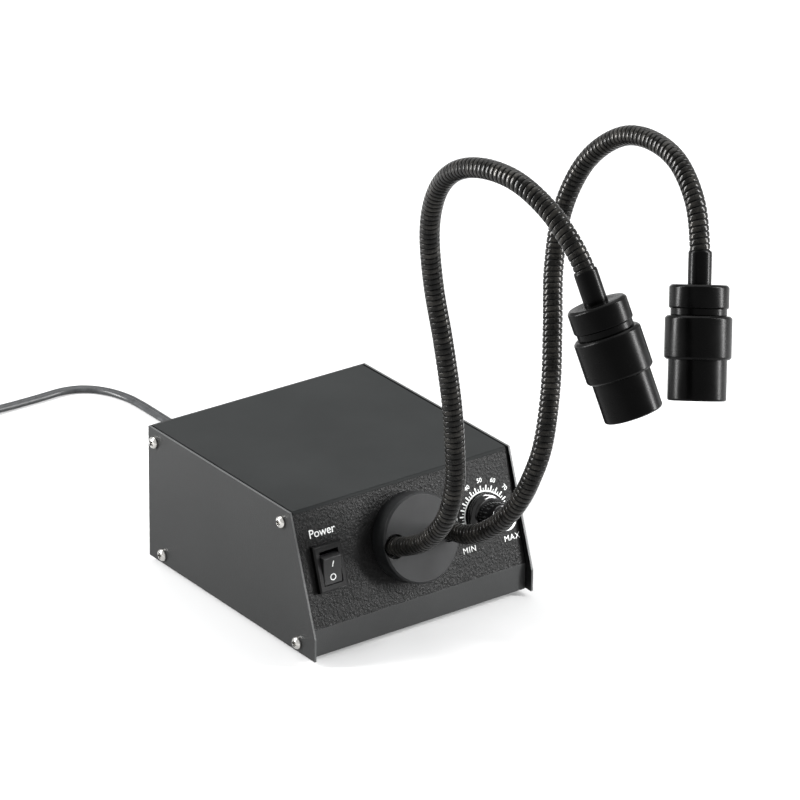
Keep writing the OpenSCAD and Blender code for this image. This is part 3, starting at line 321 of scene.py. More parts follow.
finishes = {
    "sheet": makeSatinSheet("satinSheet", 0.6, 0.40, 0.21),
    # the cut edges' coat is the satin coat made five times paler: a painted highlight along the edges
    "edge": makeSatinSheet("satinEdgePaintedHighlight", 3.0, 0.36, 0.5),
    # the top cover's coat is the same satin coat made paler with its specular nearly off: its sheen is
    # painted into the colour
    "cover": makeSatinSheet("satinCoverPaintedSheen", 1.7, 0.6, 0.005),
    # the strip below the crease takes a paler copy of the satin coat: painted light
    "face": makeSatinSheet("satinStripPaintedLight", 1.3, 0.36, 0.42),
    "wrinkle": makeWrinklePanel(),
    "hub": makePlastic("hubSatin", (0.005, 0.0053, 0.0056), 0.42, 0.00018, 0.000012, 0.18),
    "anodised": makeAnodised(),
    "hose": makeHoseMetal(),
    "switch": makePlastic("switchNylon", (0.003, 0.003, 0.0031), 0.38, 0.00025, 0.00002, 0.16),
    # near-black coat for the bezel's left wall: painted shade
    "shade": makePlastic("bezelWallPaintedShade", (0.0003, 0.0003, 0.0003), 0.7, 0.00025, 0.00002, 0.02),
    "rocker": makePlastic("rockerNylon", (0.004, 0.004, 0.0042), 0.40, 0.00022, 0.00002, 0.3),
    "knob": makePlastic("glossKnob", (0.0015, 0.0015, 0.0016), 0.10, 0.0016, 0.000002, 0.35),
    "cord": makeRubber("leadVinyl", (0.022, 0.023, 0.024), 0.3, 0.25),
    "rubber": makeRubber("softRubber", (0.010, 0.010, 0.010)),
    "nickel": makeMetal("nickelPlate", (0.52, 0.51, 0.49), 0.15, (1, 1, 1), 0.0005),
    "zinc": makeMetal("zincPlate", (0.50, 0.50, 0.48), 0.38),
    "steel": makeMetal("drawnSteel", (0.42, 0.42, 0.42), 0.36, (1, 0.1, 0.1)),
    "aluminium": makeMetal("bareAluminium", (0.72, 0.73, 0.74), 0.33, (0.08, 1, 1)),
    "brass": makeMetal("turnedBrass", (0.72, 0.52, 0.22), 0.3),
    "print": makeWhitePrint(),
    "glass": makeLensGlass(),
    "board": makeBoard(),
    "led": makeLedCeramic(),
    "parts": makeComponents(),
    "fibre": makeFibre(),
    "fan": makePlastic("fanPlastic", (0.014, 0.014, 0.015), 0.42, 0.0003, 0.00002),
}
print("finishes made:", len(finishes))


# camera, lamps and floor
shot = {
    "place": (-1.14858, -1.58620, 0.98488),
    "azimuth": -36.6726,
    "elevation": 24.5978,
    "roll": 0.7028,
    "lens": 218.43,
    "sensor": 36.0,
    "nearClip": 0.05,
    "farClip": 50,
}


def awayFrom(azimuth, elevation):
    around, above = math.radians(azimuth), math.radians(elevation)
    return Vector((math.sin(around) * math.cos(above), -math.cos(around) * math.cos(above), math.sin(above)))


def placeCamera():
    optics = bpy.data.cameras.new("benchCamera")
    optics.lens, optics.sensor_width = shot["lens"], shot["sensor"]
    optics.clip_start, optics.clip_end = shot["nearClip"], shot["farClip"]
    camera = bpy.data.objects.new("benchCamera", optics)
    bpy.context.scene.collection.objects.link(camera)
    camera.rotation_mode = "QUATERNION"
    camera.location = shot["place"]
    aim = (-awayFrom(shot["azimuth"], shot["elevation"])).to_track_quat("-Z", "Y")
    camera.rotation_quaternion = aim @ Quaternion((0, 0, 1), math.radians(shot["roll"]))
    bpy.context.scene.camera = camera


# softboxes: azimuth and elevation as the camera's, distance, sides and watts
lamps = {
    "leftBox": {"azimuth": -124, "elevation": 20, "away": 1.2, "size": (0.17, 1.1), "watts": 50},
    "rightBox": {"azimuth": 50, "elevation": 20, "away": 1.1, "size": (0.16, 1.1), "watts": 42},
    "topBox": {"azimuth": 150, "elevation": 66, "away": 1.5, "size": (1.5, 1.1), "watts": 17},
}
lampAim = Vector((0.02, -0.05, 0.11))


def placeLamps():
    for name, lamp in lamps.items():
        light = bpy.data.lights.new(name, "AREA")
        light.shape = "RECTANGLE"
        light.size, light.size_y = lamp["size"]
        light.energy = lamp["watts"]
        placed = bpy.data.objects.new(name, light)
        bpy.context.scene.collection.objects.link(placed)
        away = awayFrom(lamp["azimuth"], lamp["elevation"])
        placed.location = lampAim + away * lamp["away"]
        placed.rotation_mode = "QUATERNION"
        placed.rotation_quaternion = (-away).to_track_quat("-Z", "Y")
        placed.visible_camera = False


# the floor lifts to white between two distances from the object, for the rays that show it
surround = {
    "light": (0.42, 0.43, 0.44), "liftNear": 0.22, "liftFar": 0.95, "near": 0.14, "far": 0.9,
    "floorTone": 0.39, "floorRadius": 6.0, "floorDrop": 0.05,
}


def seenRays(made):
    # 1 for rays that show what they meet: straight from the camera, mirrored, or through glass
    camera, glossy, through = [made.node("ShaderNodeLightPath", output=f"Is {kind} Ray")
                               for kind in ("Camera", "Glossy", "Transmission")]
    both = made.node("ShaderNodeMath", {"operation": "MAXIMUM"}, {0: camera, 1: glossy})
    return made.node("ShaderNodeMath", {"operation": "MAXIMUM"}, {0: both, 1: through})


def makeSurround():
    world = bpy.data.worlds.new("paleRoom")
    bpy.context.scene.world = world
    made = Finish(world)
    lit = made.node("ShaderNodeBackground", None, {"Color": (*surround["light"], 1), "Strength": 1.0})
    pale = made.node("ShaderNodeBackground", None, {"Color": (1, 1, 1, 1), "Strength": 1.0})
    both = made.node("ShaderNodeMixShader", None, {0: seenRays(made), 1: lit, 2: pale})
    made.node("ShaderNodeOutputWorld", None, {"Surface": both})

    floorFinish = newFinish("paleFloor")
    seen = seenRays(floorFinish)
    tone = surround["floorTone"]
    paint = floorFinish.node("ShaderNodeBsdfDiffuse", None, {"Color": (tone, tone, tone, 1)})
    away = floorFinish.node("ShaderNodeVectorMath", {"operation": "LENGTH"}, {
        0: floorFinish.node("ShaderNodeTexCoord", output="Object")}, "Value")
    glow = floorFinish.span(away, surround["near"], surround["far"],
                            surround["liftNear"], surround["liftFar"])
    lift = floorFinish.node("ShaderNodeEmission", None, {"Color": (1, 1, 1, 1), "Strength": seen * glow})
    both = floorFinish.node("ShaderNodeAddShader", None, {0: paint, 1: lift})
    floorFinish.node("ShaderNodeOutputMaterial", None, {"Surface": both})
    bm = bmesh.new()
    bmesh.ops.create_circle(bm, cap_ends=True, segments=96, radius=surround["floorRadius"])
    mesh = bpy.data.meshes.new("benchTop")
    bm.to_mesh(mesh)
    bm.free()
    mesh.materials.append(floorFinish.owner)
    floor = bpy.data.objects.new("benchTop", mesh)
    floor.location.z = -surround["floorDrop"] * mm
    bpy.context.scene.collection.objects.link(floor)


placeCamera()
placeLamps()
makeSurround()
bpy.context.scene.view_settings.view_transform = "Standard"
print("camera, lamps and floor placed")


# shared mesh helpers; shapes are drawn in millimetres and placed by a matrix
def placeIn(origin, outward, across=None):
    up = Vector(outward).normalized()
    side = Vector(across or (1, 0, 0))
    side = (side - up * side.dot(up)).normalized()
    turned = Matrix((side, up.cross(side), up)).transposed().to_4x4()
    return Matrix.Translation(Vector(origin)) @ turned @ Matrix.Scale(mm, 4)


def makePiece(name, bm, finish, body, place=None, replaces=(), sharp=32):
    if place is not None:
        bmesh.ops.transform(bm, matrix=place, verts=bm.verts[:])
    mesh = bpy.data.meshes.new(name)
    bm.to_mesh(mesh)
    bm.free()
    mesh.shade_smooth()
    mesh.set_sharp_from_angle(angle=math.radians(sharp))
    for each in finish if isinstance(finish, (list, tuple)) else [finish]:
        mesh.materials.append(finishes[each])
    piece = bpy.data.objects.new(name, mesh)
    bpy.context.scene.collection.objects.link(piece)
    if body:
        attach(piece, body)
    if replaces:
        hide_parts(*replaces)
    return piece


def weld(bm, apart=0.0005):
    bmesh.ops.remove_doubles(bm, verts=bm.verts[:], dist=apart)


def faceOut(bm):
    bmesh.ops.recalc_face_normals(bm, faces=bm.faces[:])


def splitWide(bm):
    # leaves no face with more than four corners
    bmesh.ops.triangulate(bm, faces=[face for face in bm.faces if len(face.verts) > 4])


def closeHoles(bm):
    bmesh.ops.holes_fill(bm, edges=[edge for edge in bm.edges if edge.is_boundary], sides=0)


def newVerts(made):
    return [part for part in made["geom"] if isinstance(part, bmesh.types.BMVert)]


def secondFinish(bm, chosen):
    # the chosen faces get the piece's second finish, the others its first
    for face in bm.faces:
        face.material_index = 1 if chosen(face) else 0


def bevelSharp(bm, width, segments, angle):
    limit = math.radians(angle)
    edges = [edge for edge in bm.edges if len(edge.link_faces) == 2 and edge.calc_face_angle() > limit]
    bmesh.ops.bevel(bm, geom=edges, offset=width, offset_type="OFFSET", affect="EDGES", segments=segments,
                    profile=0.5, clamp_overlap=True, material=-1)


def cutAcross(outline, width):
    # a block with an outline of (reach, height) for its two sides
    bm = bmesh.new()
    side = bm.faces.new([bm.verts.new((-width / 2, reach, height)) for reach, height in outline])
    grown = bmesh.ops.extrude_face_region(bm, geom=[side], use_keep_orig=True)
    bmesh.ops.translate(bm, vec=(width, 0, 0), verts=newVerts(grown))
    faceOut(bm)
    return bm


def turnProfile(profile, steps):
    # spins a closed or axis-to-axis outline of (radius, height) and maps height to the UV's second direction
    bm = bmesh.new()
    points = [bm.verts.new((radius, 0, height)) for radius, height in profile]
    for first, second in zip(points, points[1:]):
        bm.edges.new((first, second))
    bmesh.ops.spin(bm, geom=bm.verts[:] + bm.edges[:], cent=(0, 0, 0), axis=(0, 0, 1), dvec=(0, 0, 0),
                   angle=math.tau, steps=steps, use_merge=True, use_duplicate=False)
    weld(bm)
    faceOut(bm)
    turned = bm.loops.layers.uv.new("turned")
    for face in bm.faces:
        for loop in face.loops:
            at = loop.vert.co
            flat = math.hypot(at.x, at.y)
            loop[turned].uv = (0.5 + 0.5 * at.x / max(flat, 0.01), (at.z + flat) * mm)
    return bm


def roundCorners(profile, radius, steps):
    # rounds each inner corner of an outline with an arc, as large as its sides allow
    made = [Vector(profile[0])]
    for before, corner, after in zip(profile, profile[1:], profile[2:]):
        before, corner, after = Vector(before), Vector(corner), Vector(after)
        one, two = before - corner, after - corner
        reach = min(radius, one.length * 0.45, two.length * 0.45)
        start, end = corner + one.normalized() * reach, corner + two.normalized() * reach
        for step in range(steps + 1):
            t = step / steps
            made.append((1 - t) ** 2 * start + 2 * t * (1 - t) * corner + t * t * end)
    made.append(Vector(profile[-1]))
    return [(point.x, point.y) for point in made]


def copyNode(node, width=0.0, segments=2, angle=30, flat=1.0):
    # a merged copy of a CAD node, its flat faces joined and its sharp edges softened
    bm = bmesh.new()
    bm.from_mesh(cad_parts[node].data)
    bmesh.ops.transform(bm, matrix=Matrix.Scale(1 / mm, 4), verts=bm.verts[:])
    weld(bm)
    bmesh.ops.dissolve_limit(bm, angle_limit=math.radians(flat), verts=bm.verts[:], edges=bm.edges[:])
    if width:
        bevelSharp(bm, width, segments, angle)
    splitWide(bm)
    return bm


rowPlace = Matrix.Scale(mm, 4)  # for shapes drawn where they stand


# mains lead: over the bench, into its coil and the plug
lead = {
    "width": 0.0049, "lobe": 0.0015, "lobeSteps": 8, "waist": 0.92, "routeSteps": 8,
    "exit": (0.028, 0.090, 0.009),
    "route": [
        (0.028, 0.090, 0.009), (0.028, 0.097, 0.009), (0.028, 0.107, 0.0074), (0.028, 0.118, 0.005),
        (0.028, 0.130, 0.0028), (0.028, 0.142, 0.0018), (0.028, 0.156, 0.0016), (0.028, 0.172, 0.0016),
        (0.028, 0.188, 0.0016), (0.028, 0.203, 0.0016), (0.027, 0.215, 0.0016), (0.023, 0.2265, 0.0016),
        (0.016, 0.235, 0.0016), (0.006, 0.239, 0.0016), (-0.008, 0.239, 0.0016), (-0.022, 0.239, 0.0016),
        (-0.034, 0.239, 0.0019), (-0.044, 0.239, 0.0023), (-0.051, 0.239, 0.0023), (-0.0571, 0.239, 0.0023)],
    "coilCentre": (-0.062, 0.2778), "coilRadius": 0.0388, "coilTurns": 3.5,
    "pitch": 0.0054, "layer": 0.0035, "low": 0.0023, "plugHeight": 0.0069,
    "peel": 0.0115, "peelTurn": 0.22, "stepsPerTurn": 48,
}


def withEnds(points):
    # adds a point past each end, so that a curve can start at the first and stop at the last
    return [2 * points[0] - points[1], *points, 2 * points[-1] - points[-2]]


def curveAt(a, b, c, d, t):
    # Catmull-Rom curve from b to c
    return 0.5 * (2 * b + (c - a) * t + (2 * a - 5 * b + 4 * c - d) * t * t
                  + (3 * b - a - 3 * c + d) * t ** 3)


def denseRoute(points, steps):
    points = withEnds([Vector(point) for point in points])
    made = []
    for four in zip(points, points[1:], points[2:], points[3:]):
        made += [curveAt(*four, step / steps) for step in range(steps)]
    return [*made, points[-2]]


def easeIn(t):
    t = min(max(t, 0), 1)
    return t * t * (3 - 2 * t)


def coilPoints():
    total = 2 * lead["coilTurns"] + 0.5
    centre = Vector((*lead["coilCentre"], 0))
    made = []
    for step in range(int(total * lead["stepsPerTurn"]) + 1):
        u = step / lead["stepsPerTurn"]
        peeled = easeIn((u - total + lead["peelTurn"]) / lead["peelTurn"])
        inward = u if u < lead["coilTurns"] + 0.25 else total - u
        radius = lead["coilRadius"] - lead["pitch"] * inward + lead["peel"] * peeled
        height = lead["low"] + lead["layer"] * min(max((u - lead["coilTurns"]) * 2, 0), 1)
        height += (lead["plugHeight"] - lead["low"] - lead["layer"]) * peeled
        angle = math.radians(270 - 360 * u)
        made.append(centre + Vector((radius * math.cos(angle), radius * math.sin(angle), height)))
    return [*made, centre + Vector((lead["width"], radius, height))]


def pathLength(points):
    return sum((second - first).length for first, second in zip(points, points[1:]))


def drawLine(curve, points):
    line = curve.splines.new("POLY")
    line.points.add(len(points) - 1)
    for point, place in zip(line.points, points):
        point.co = (*place, 1)
    return line


def leadSection():
    # two round lobes side by side
    lobe, apart = lead["lobe"], lead["width"] / 2 - lead["lobe"]
    half = math.acos(apart / lobe)
    corners = []
    for side in (1, -1):
        for step in range(lead["lobeSteps"] + 1):
            angle = (step / lead["lobeSteps"] * 2 - 1) * (math.pi - half * lead["waist"])
            corners.append((side * (apart + lobe * math.cos(angle)), side * lobe * math.sin(angle), 0))
    section = bpy.data.curves.new("leadSection", "CURVE")
    section.dimensions = "2D"
    drawLine(section, corners).use_cyclic_u = True
    return bpy.data.objects.new("leadSection", section)


def makeLead():
    points = denseRoute(lead["route"], lead["routeSteps"]) + coilPoints()
    sectionObject = leadSection()
    path = bpy.data.curves.new("leadPath", "CURVE")
    path.dimensions, path.twist_mode = "3D", "Z_UP"
    path.bevel_mode, path.bevel_object, path.use_fill_caps = "OBJECT", sectionObject, True
    drawLine(path, points)
    sweep = bpy.data.objects.new("leadSweep", path)
    bpy.context.scene.collection.objects.link(sweep)
    bpy.context.view_layer.update()
    mesh = bpy.data.meshes.new_from_object(sweep.evaluated_get(bpy.context.evaluated_depsgraph_get()))
    for made in (sweep, sectionObject):
        bpy.data.objects.remove(made)
    bm = bmesh.new()
    bm.from_mesh(mesh)
    weld(bm, 0.00001)
    faceOut(bm)
    piece = makePiece("mainsLead", bm, "cord", "housing", None,
                      ("mains_lead", "lead_coil"), 50)
    return piece, points


# strain relief: a flange in the rear panel and a ribbed taper
boot = {
    "rearY": 64.5, "x": 28.0, "z": 9.0, "length": 25.5, "flange": 6.5, "thick": 2, "root": 4.55, "tip": 3.25,
    "inside": -4, "collar": 0.8, "ribs": 4, "firstGroove": 6, "pitch": 4.4, "groove": 1.6, "deep": 0.9,
}


def makeBoot():
    root, thick, length, inside = boot["root"], boot["thick"], boot["length"], boot["inside"]
    outline = [(0, inside), (root + boot["collar"], inside), (root + boot["collar"], -1.0), (root, -1.0),
               (root, 0), (boot["flange"], 0), (boot["flange"] - 0.5, thick), (root, thick)]
    taper = (root - boot["tip"]) / (length - thick)
    for rib in range(boot["ribs"]):
        low = boot["firstGroove"] + rib * boot["pitch"]
        high = low + boot["groove"]
        for height, sunk in ((low, 0), (low + 0.1, boot["deep"]), (high - 0.1, boot["deep"]), (high, 0)):
            outline.append((root - taper * (height - thick) - sunk, height))
    outline += [(boot["tip"], length), (0, length)]
    bm = turnProfile(roundCorners(outline, 0.35, 3), 64)
    place = placeIn((boot["x"] * mm, boot["rearY"] * mm, boot["z"] * mm), (0, 1, 0))
    return makePiece("leadBoot", bm, "rubber", "housing", place, ("strain_relief",), 40)


# plug: the CAD node's body, with round pins that are sleeved for half their length
plug = {
    "edge": 0.9, "pinLength": 19.0, "pinRadius": 2.0, "sleeveRadius": 1.9, "sleeve": 10.0, "apart": 18.6,
    "tip": 1.2, "tipIn": 1.1,
}


def makePlug():
    low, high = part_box("mains_plug")
    middle = (low + high) / 2
    bm = copyNode("mains_plug")
    cut = (high.x / mm - plug["pinLength"], 0, 0)
    bmesh.ops.bisect_plane(bm, geom=bm.verts[:] + bm.edges[:] + bm.faces[:], plane_co=cut,
                           plane_no=(1, 0, 0), clear_outer=True)
    weld(bm, 0.001)
    closeHoles(bm)
    bevelSharp(bm, plug["edge"], 3, 50)
    splitWide(bm)
    made = [makePiece("plugBody", bm, "rubber", "housing", rowPlace, ("mains_plug",), 40)]
    reach, radius, sleeve = plug["pinLength"], plug["pinRadius"], plug["sleeve"]
    outline = [(0, -1), (plug["sleeveRadius"], -1), (plug["sleeveRadius"], sleeve), (radius, sleeve),
               (radius, reach - plug["tip"]), (radius - plug["tipIn"], reach), (0, reach)]
    for name, side in (("plugPinLeft", -1), ("plugPinRight", 1)):
        bm = turnProfile(roundCorners(outline, 0.3, 3), 32)
        secondFinish(bm, lambda face: face.calc_center_median().z > sleeve)
        foot = (high.x - reach * mm, middle.y + side * plug["apart"] / 2 * mm, middle.z)
        made.append(makePiece(name, bm, ["switch", "nickel"], "housing",
                              placeIn(foot, (1, 0, 0), (0, 1, 0)), (), 40))
    return made


def makeTie():
    return makePiece("coilTie", copyNode("coil_tie", 0.12), "rubber", "housing", rowPlace,
                     ("coil_tie",))


leadPiece, leadPoints = makeLead()
leadBoot = makeBoot()
plugPieces = makePlug()
coilTie = makeTie()
leadLength = pathLength(leadPoints)
print(f"lead made, {leadLength:.3f} m")


# sheet metal case: the CAD nodes with rolled edges and their own coats
sheets = {
    "left_side_plate": {"finish": ["sheet", "edge"], "edge": 0.26},
    "right_side_plate": {"finish": ["sheet", "edge"], "edge": 0.26},
    "top_cover": {"finish": ["cover"], "edge": 0.22, "seam": 1.1, "frontSeam": 0.6},
    "rear_panel": {"finish": ["sheet"], "edge": 0.2},
    "base_plate": {"finish": ["sheet"], "edge": 0.2},
    "front_panel": {"finish": ["wrinkle", "face"], "edge": 0.25, "slot": "grained_panel", "seam": 0.5},
}
creaseHeight = 15.4  # the front panel is painted plain below it
seamStart = 56  # across, past which a sheet is drawn in for its seam
edgeFacing = 0.6  # a side plate's face that looks less outwards than this is its cut edge


def camelName(node, tail=""):
    first, *rest = node.split("_")
    return first + "".join(word.capitalize() for word in rest) + tail


def flattenShading(piece):
    weighted = piece.modifiers.new("flatFaces", "WEIGHTED_NORMAL")
    weighted.keep_sharp, weighted.weight = True, 80


def makeHousingPiece(name, bm, finish, node):
    flattenShading(makePiece(name, bm, finish, "housing", rowPlace, (node,)))


def makeSheets():
    for node, sheet in sheets.items():
        bm = copyNode(node, sheet["edge"], 3, 12)
        # the strip below the crease gets the paler strip coat, painted light
        if node == "front_panel":
            secondFinish(bm, lambda face: face.calc_center_median().z < creaseHeight)
        # a side plate's cut edges get the paler edge coat, a painted highlight
        if "edge" in sheet["finish"]:
            secondFinish(bm, lambda face: abs(face.normal.x) < edgeFacing)
        # the cover and the face stand a little back from the side plates, which leaves a dark seam
        front = min(vert.co.y for vert in bm.verts)
        for vert in bm.verts:
            if abs(vert.co.x) > seamStart:
                vert.co.x -= math.copysign(sheet.get("seam", 0), vert.co.x)
            if vert.co.y < front + 1:
                vert.co.y += sheet.get("frontSeam", 0)
        makeHousingPiece(camelName(node), bm, sheet["finish"], node)
    screws = copyNode("side_screws", 0.12, 3, 35)
    makeHousingPiece("sideScrewHeads", screws, "nickel", "side_screws")
    feet = copyNode("rubber_feet", 0.3, 3, 35)
    makeHousingPiece("rubberFeet", feet, "rubber", "rubber_feet")


makeSheets()
print("case made")


# the sloping face and what is set out on it, in millimetres across and up the slope
slope = {"crease": (0, -60.8, 15.4), "up": (0, 0.303204, 0.952926), "out": (0, -0.952926, 0.303204)}


def slopePoint(x, s, height):
    up, out = Vector(slope["up"]), Vector(slope["out"])
    return Vector(slope["crease"]) + up * s + out * height + Vector((x, 0, 0))


def onSlope(x, s, height, turn=0.0):
    place = placeIn(slopePoint(x, s, height) * mm, slope["out"], (1, 0, 0))
    return place @ Matrix.Rotation(math.radians(turn), 4, "Z")


def raiseFlat(bm, thickness):
    # gives a flat print its paint's thickness
    faceOut(bm)
    for face in bm.faces:
        if face.normal.z < 0:
            face.normal_flip()
    grown = bmesh.ops.extrude_face_region(bm, geom=bm.faces[:], use_keep_orig=True)
    bmesh.ops.translate(bm, vec=(0, 0, thickness), verts=newVerts(grown))
    faceOut(bm)


capHeight = 0.73  # of the built-in font's size


def flatText(text, height, weight, spread=1.0):
    # one word as a flat mesh, centred on its own box
    letters = bpy.data.curves.new("letters", "FONT")
    letters.body, letters.size, letters.offset = text, height / capHeight, weight * height
    letters.space_character = spread
    letters.resolution_u = 4
    typed = bpy.data.objects.new("letters", letters)
    bpy.context.scene.collection.objects.link(typed)
    bpy.context.view_layer.update()
    mesh = bpy.data.meshes.new_from_object(typed.evaluated_get(bpy.context.evaluated_depsgraph_get()))
    bpy.data.objects.remove(typed)
    bm = bmesh.new()
    bm.from_mesh(mesh)
    weld(bm)
    across, upwards = [vert.co.x for vert in bm.verts], [vert.co.y for vert in bm.verts]
    middle = Vector(((min(across) + max(across)) / 2, (min(upwards) + max(upwards)) / 2, 0))
    bmesh.ops.translate(bm, vec=-middle, verts=bm.verts[:])
    return bm


def flatBlock(low, high):
    # a flat rectangle from corner to corner
    bm = bmesh.new()
    corners = [bm.verts.new((x, y, 0)) for x, y in
               ((low[0], low[1]), (high[0], low[1]), (high[0], high[1]), (low[0], high[1]))]
    bm.faces.new(corners)
    return bm


def flatArc(inner, outer, start, end, steps):
    # a flat band between two radii, angles clockwise from up
    bm = bmesh.new()
    rows = []
    for step in range(steps + 1):
        angle = math.radians(start + (end - start) * step / steps)
        rows.append([bm.verts.new((radius * math.sin(angle), radius * math.cos(angle), 0))
                     for radius in (inner, outer)])
    for first, second in zip(rows, rows[1:]):
        bm.faces.new((first[0], first[1], second[1], second[0]))
    weld(bm)
    return bm


def joined(parts):
    # puts several meshes, each with its own matrix, into one
    bm = bmesh.new()
    for part, place in parts:
        bmesh.ops.transform(part, matrix=place, verts=part.verts[:])
        holder = bpy.data.meshes.new("joining")
        part.to_mesh(holder)
        part.free()
        bm.from_mesh(holder)
        bpy.data.meshes.remove(holder)
    return bm


printLift = 0.005  # keeps paint clear of the face under it
dial = {
    "x": 41.2, "s": 26.4, "top": 50, "perUnit": 2.64, "paint": 0.035,
    "ring": (10.75, 11.35), "ringSteps": 132, "tickStep": 2.5, "tickRoot": 11.25,
    "longTick": {"half": 0.32, "end": 13.7}, "shortTick": {"half": 0.2, "end": 12.55},
    "numbers": 16.2, "digit": 2.1, "digitWeight": 0.008,
}
words = {
    "Power": {"x": -44.6, "s": 41.85, "height": 3.95, "weight": 0.004, "spread": 0.96},
    "MIN": {"x": 29.9, "s": 13.7, "height": 2.8, "weight": 0.0, "spread": 1.12},
    "MAX": {"x": 53.65, "s": 13.4, "height": 2.8, "weight": 0.0, "spread": 1.12},
}
spots = {
    "MIN": {"x": 31.12, "s": 16.85, "radius": 0.42, "paint": 0.047},
    "MAX": {"x": 52.5, "s": 21.6, "radius": 5.0, "paint": 0.047},
}


def turnTo(unit):
    return Matrix.Rotation(math.radians((dial["top"] - unit) * dial["perUnit"]), 4, "Z")


def printOnPanel(name, bm, paint, where):
    raiseFlat(bm, paint)
    makePiece(name, bm, "print", "housing", onSlope(where["x"], where["s"], printLift))


def makePrint():
    sweep = dial["top"] * dial["perUnit"]
    parts = [(flatArc(*dial["ring"], -sweep, sweep, dial["ringSteps"]), Matrix())]
    for count in range(int(2 * dial["top"] / dial["tickStep"]) + 1):
        tick = dial["shortTick"] if count % 2 else dial["longTick"]
        block = flatBlock((-tick["half"], dial["tickRoot"]), (tick["half"], tick["end"]))
        parts.append((block, turnTo(count * dial["tickStep"])))
    for number in range(10, 100, 10):
        outward = Matrix.Translation((0, dial["numbers"], 0))
        parts.append((flatText(str(number), dial["digit"], dial["digitWeight"]), turnTo(number) @ outward))
    printOnPanel("dialPrint", joined(parts), dial["paint"], dial)
    for text, word in words.items():
        bm = flatText(text, word["height"], word["weight"], word["spread"])
        printOnPanel(camelName(text.lower(), "Word"), bm, dial["paint"], word)
    for text, spot in spots.items():
        bm = bmesh.new()
        bmesh.ops.create_circle(bm, cap_ends=True, segments=48, radius=spot["radius"])
        printOnPanel(camelName(text.lower(), "Spot"), bm, spot["paint"], spot)


makePrint()
print("dial and words printed")


# light guide hub
hub = {"edge": 0.35, "flat": 0.4}


def makeHub():
    bm = copyNode("light_guide_hub", hub["edge"], 3, 30, hub["flat"])
    makeHousingPiece("guideHub", bm, "hub", "light_guide_hub")


makeHub()
print("hub made")


# rocker switch: the body, the rocker and its two marks
rocker = {
    "x": -44.8, "s": 25.9, "deep": 3.5, "tilt": 12, "width": 9.4, "face": 7.3, "dip": 0.35, "ridge": 6.2,
    "end": (7.0, 3.4), "root": (5.4, 0), "belly": (2.2, -1.6), "edge": 0.35, "faceSteps": 6, "paint": 0.05,
    "bezelEdge": 0.22, "bezelFacing": -0.9,
    "bar": {"at": 3.1, "shift": 0.25, "lean": -14, "width": 0.5, "height": 2.7},
    "ring": {"at": -3.0, "outer": 1.56, "inner": 1.1},
}


def rockerFace(s):
    # height of the rocker's dished face over its trunnions
    reach = min(abs(s) / rocker["ridge"], 1)
    return rocker["face"] - rocker["dip"] * (1 - reach * reach)


def makeSwitch():
    # the bezel's left outside wall gets a near-black coat: painted shade under its own rim
    body = copyNode("switch_body", rocker["bezelEdge"], 3, 30)
    secondFinish(body, lambda face: face.normal.x < rocker["bezelFacing"]
                 and face.calc_center_median().x < rocker["x"])
    makeHousingPiece("switchBody", body, ["switch", "shade"], "switch_body")
    tilt = Matrix.Rotation(math.radians(rocker["tilt"]), 4, "X")
    seat = onSlope(rocker["x"], rocker["s"], -rocker["deep"]) @ tilt
    steps = rocker["faceSteps"]
    half = [rocker["belly"], rocker["root"], rocker["end"]]
    for step in range(steps, -1, -1):
        reach = rocker["ridge"] * step / steps
        half.append((reach, rockerFace(reach)))
    bm = cutAcross(half + [(-reach, height) for reach, height in half[-2::-1]], rocker["width"])
    bevelSharp(bm, rocker["edge"], 4, 20)
    flattenShading(makePiece("switchRocker", bm, "rocker", "rocker", seat,
                             ("switch_rocker",), 50))
    makeMarks(seat)


def makeMarks(seat):
    bar = rocker["bar"]
    half = bar["height"] / 2
    stroke = flatBlock((-bar["width"] / 2, -half), (bar["width"] / 2, half))
    lean = Matrix.Rotation(math.radians(bar["lean"]), 4, "Z")
    bmesh.ops.transform(stroke, matrix=lean, verts=stroke.verts[:])
    bmesh.ops.translate(stroke, vec=(bar["shift"], bar["at"], 0), verts=stroke.verts[:])
    long = [edge for edge in stroke.edges if edge.calc_length() > half]
    bmesh.ops.subdivide_edges(stroke, edges=long, cuts=5, use_grid_fill=True)
    ring = rocker["ring"]
    circle = flatArc(ring["inner"], ring["outer"], 0, 360, 40)
    bmesh.ops.translate(circle, vec=(0, ring["at"], 0), verts=circle.verts[:])
    for name, bm in (("onMark", stroke), ("offMark", circle)):
        raiseFlat(bm, rocker["paint"])
        for vert in bm.verts:
            vert.co.z += rockerFace(vert.co.y) + printLift
        makePiece(name, bm, "print", "rocker", seat)


makeSwitch()
print("switch made")


# dimmer knob: skirt, tapered grip and pointer fin with its white line
knob = {
    "x": 41.2, "s": 26.4, "turn": -71.28, "lift": 0.8,
    "outline": [(0, 13.3), (2.6, 13.35), (4.6, 14.0), (5.9, 13.6), (6.3, 11.5), (7.0, 4.2), (7.25, 3.2),
                (8.0, 2.6), (9.4, 2.25), (10.2, 1.8), (10.4, 1.1), (10.35, 0.3), (10.0, 0), (6.2, 0),
                (6.2, 3.8), (3.03, 3.8), (3.03, 12.2), (0, 12.2)],
    "fin": [(3.8, 1.0), (9.7, 1.0), (10.0, 2.0), (9.4, 4.0), (5.5, 9.5), (3.8, 9.5)],
    "finWidth": 2.6, "finEdge": 0.35,
    "line": [(10.0, 2.0), (9.4, 4.0), (6.4, 8.2)], "lineWidth": 0.75, "lineOut": (0.045, 0.0396),
}


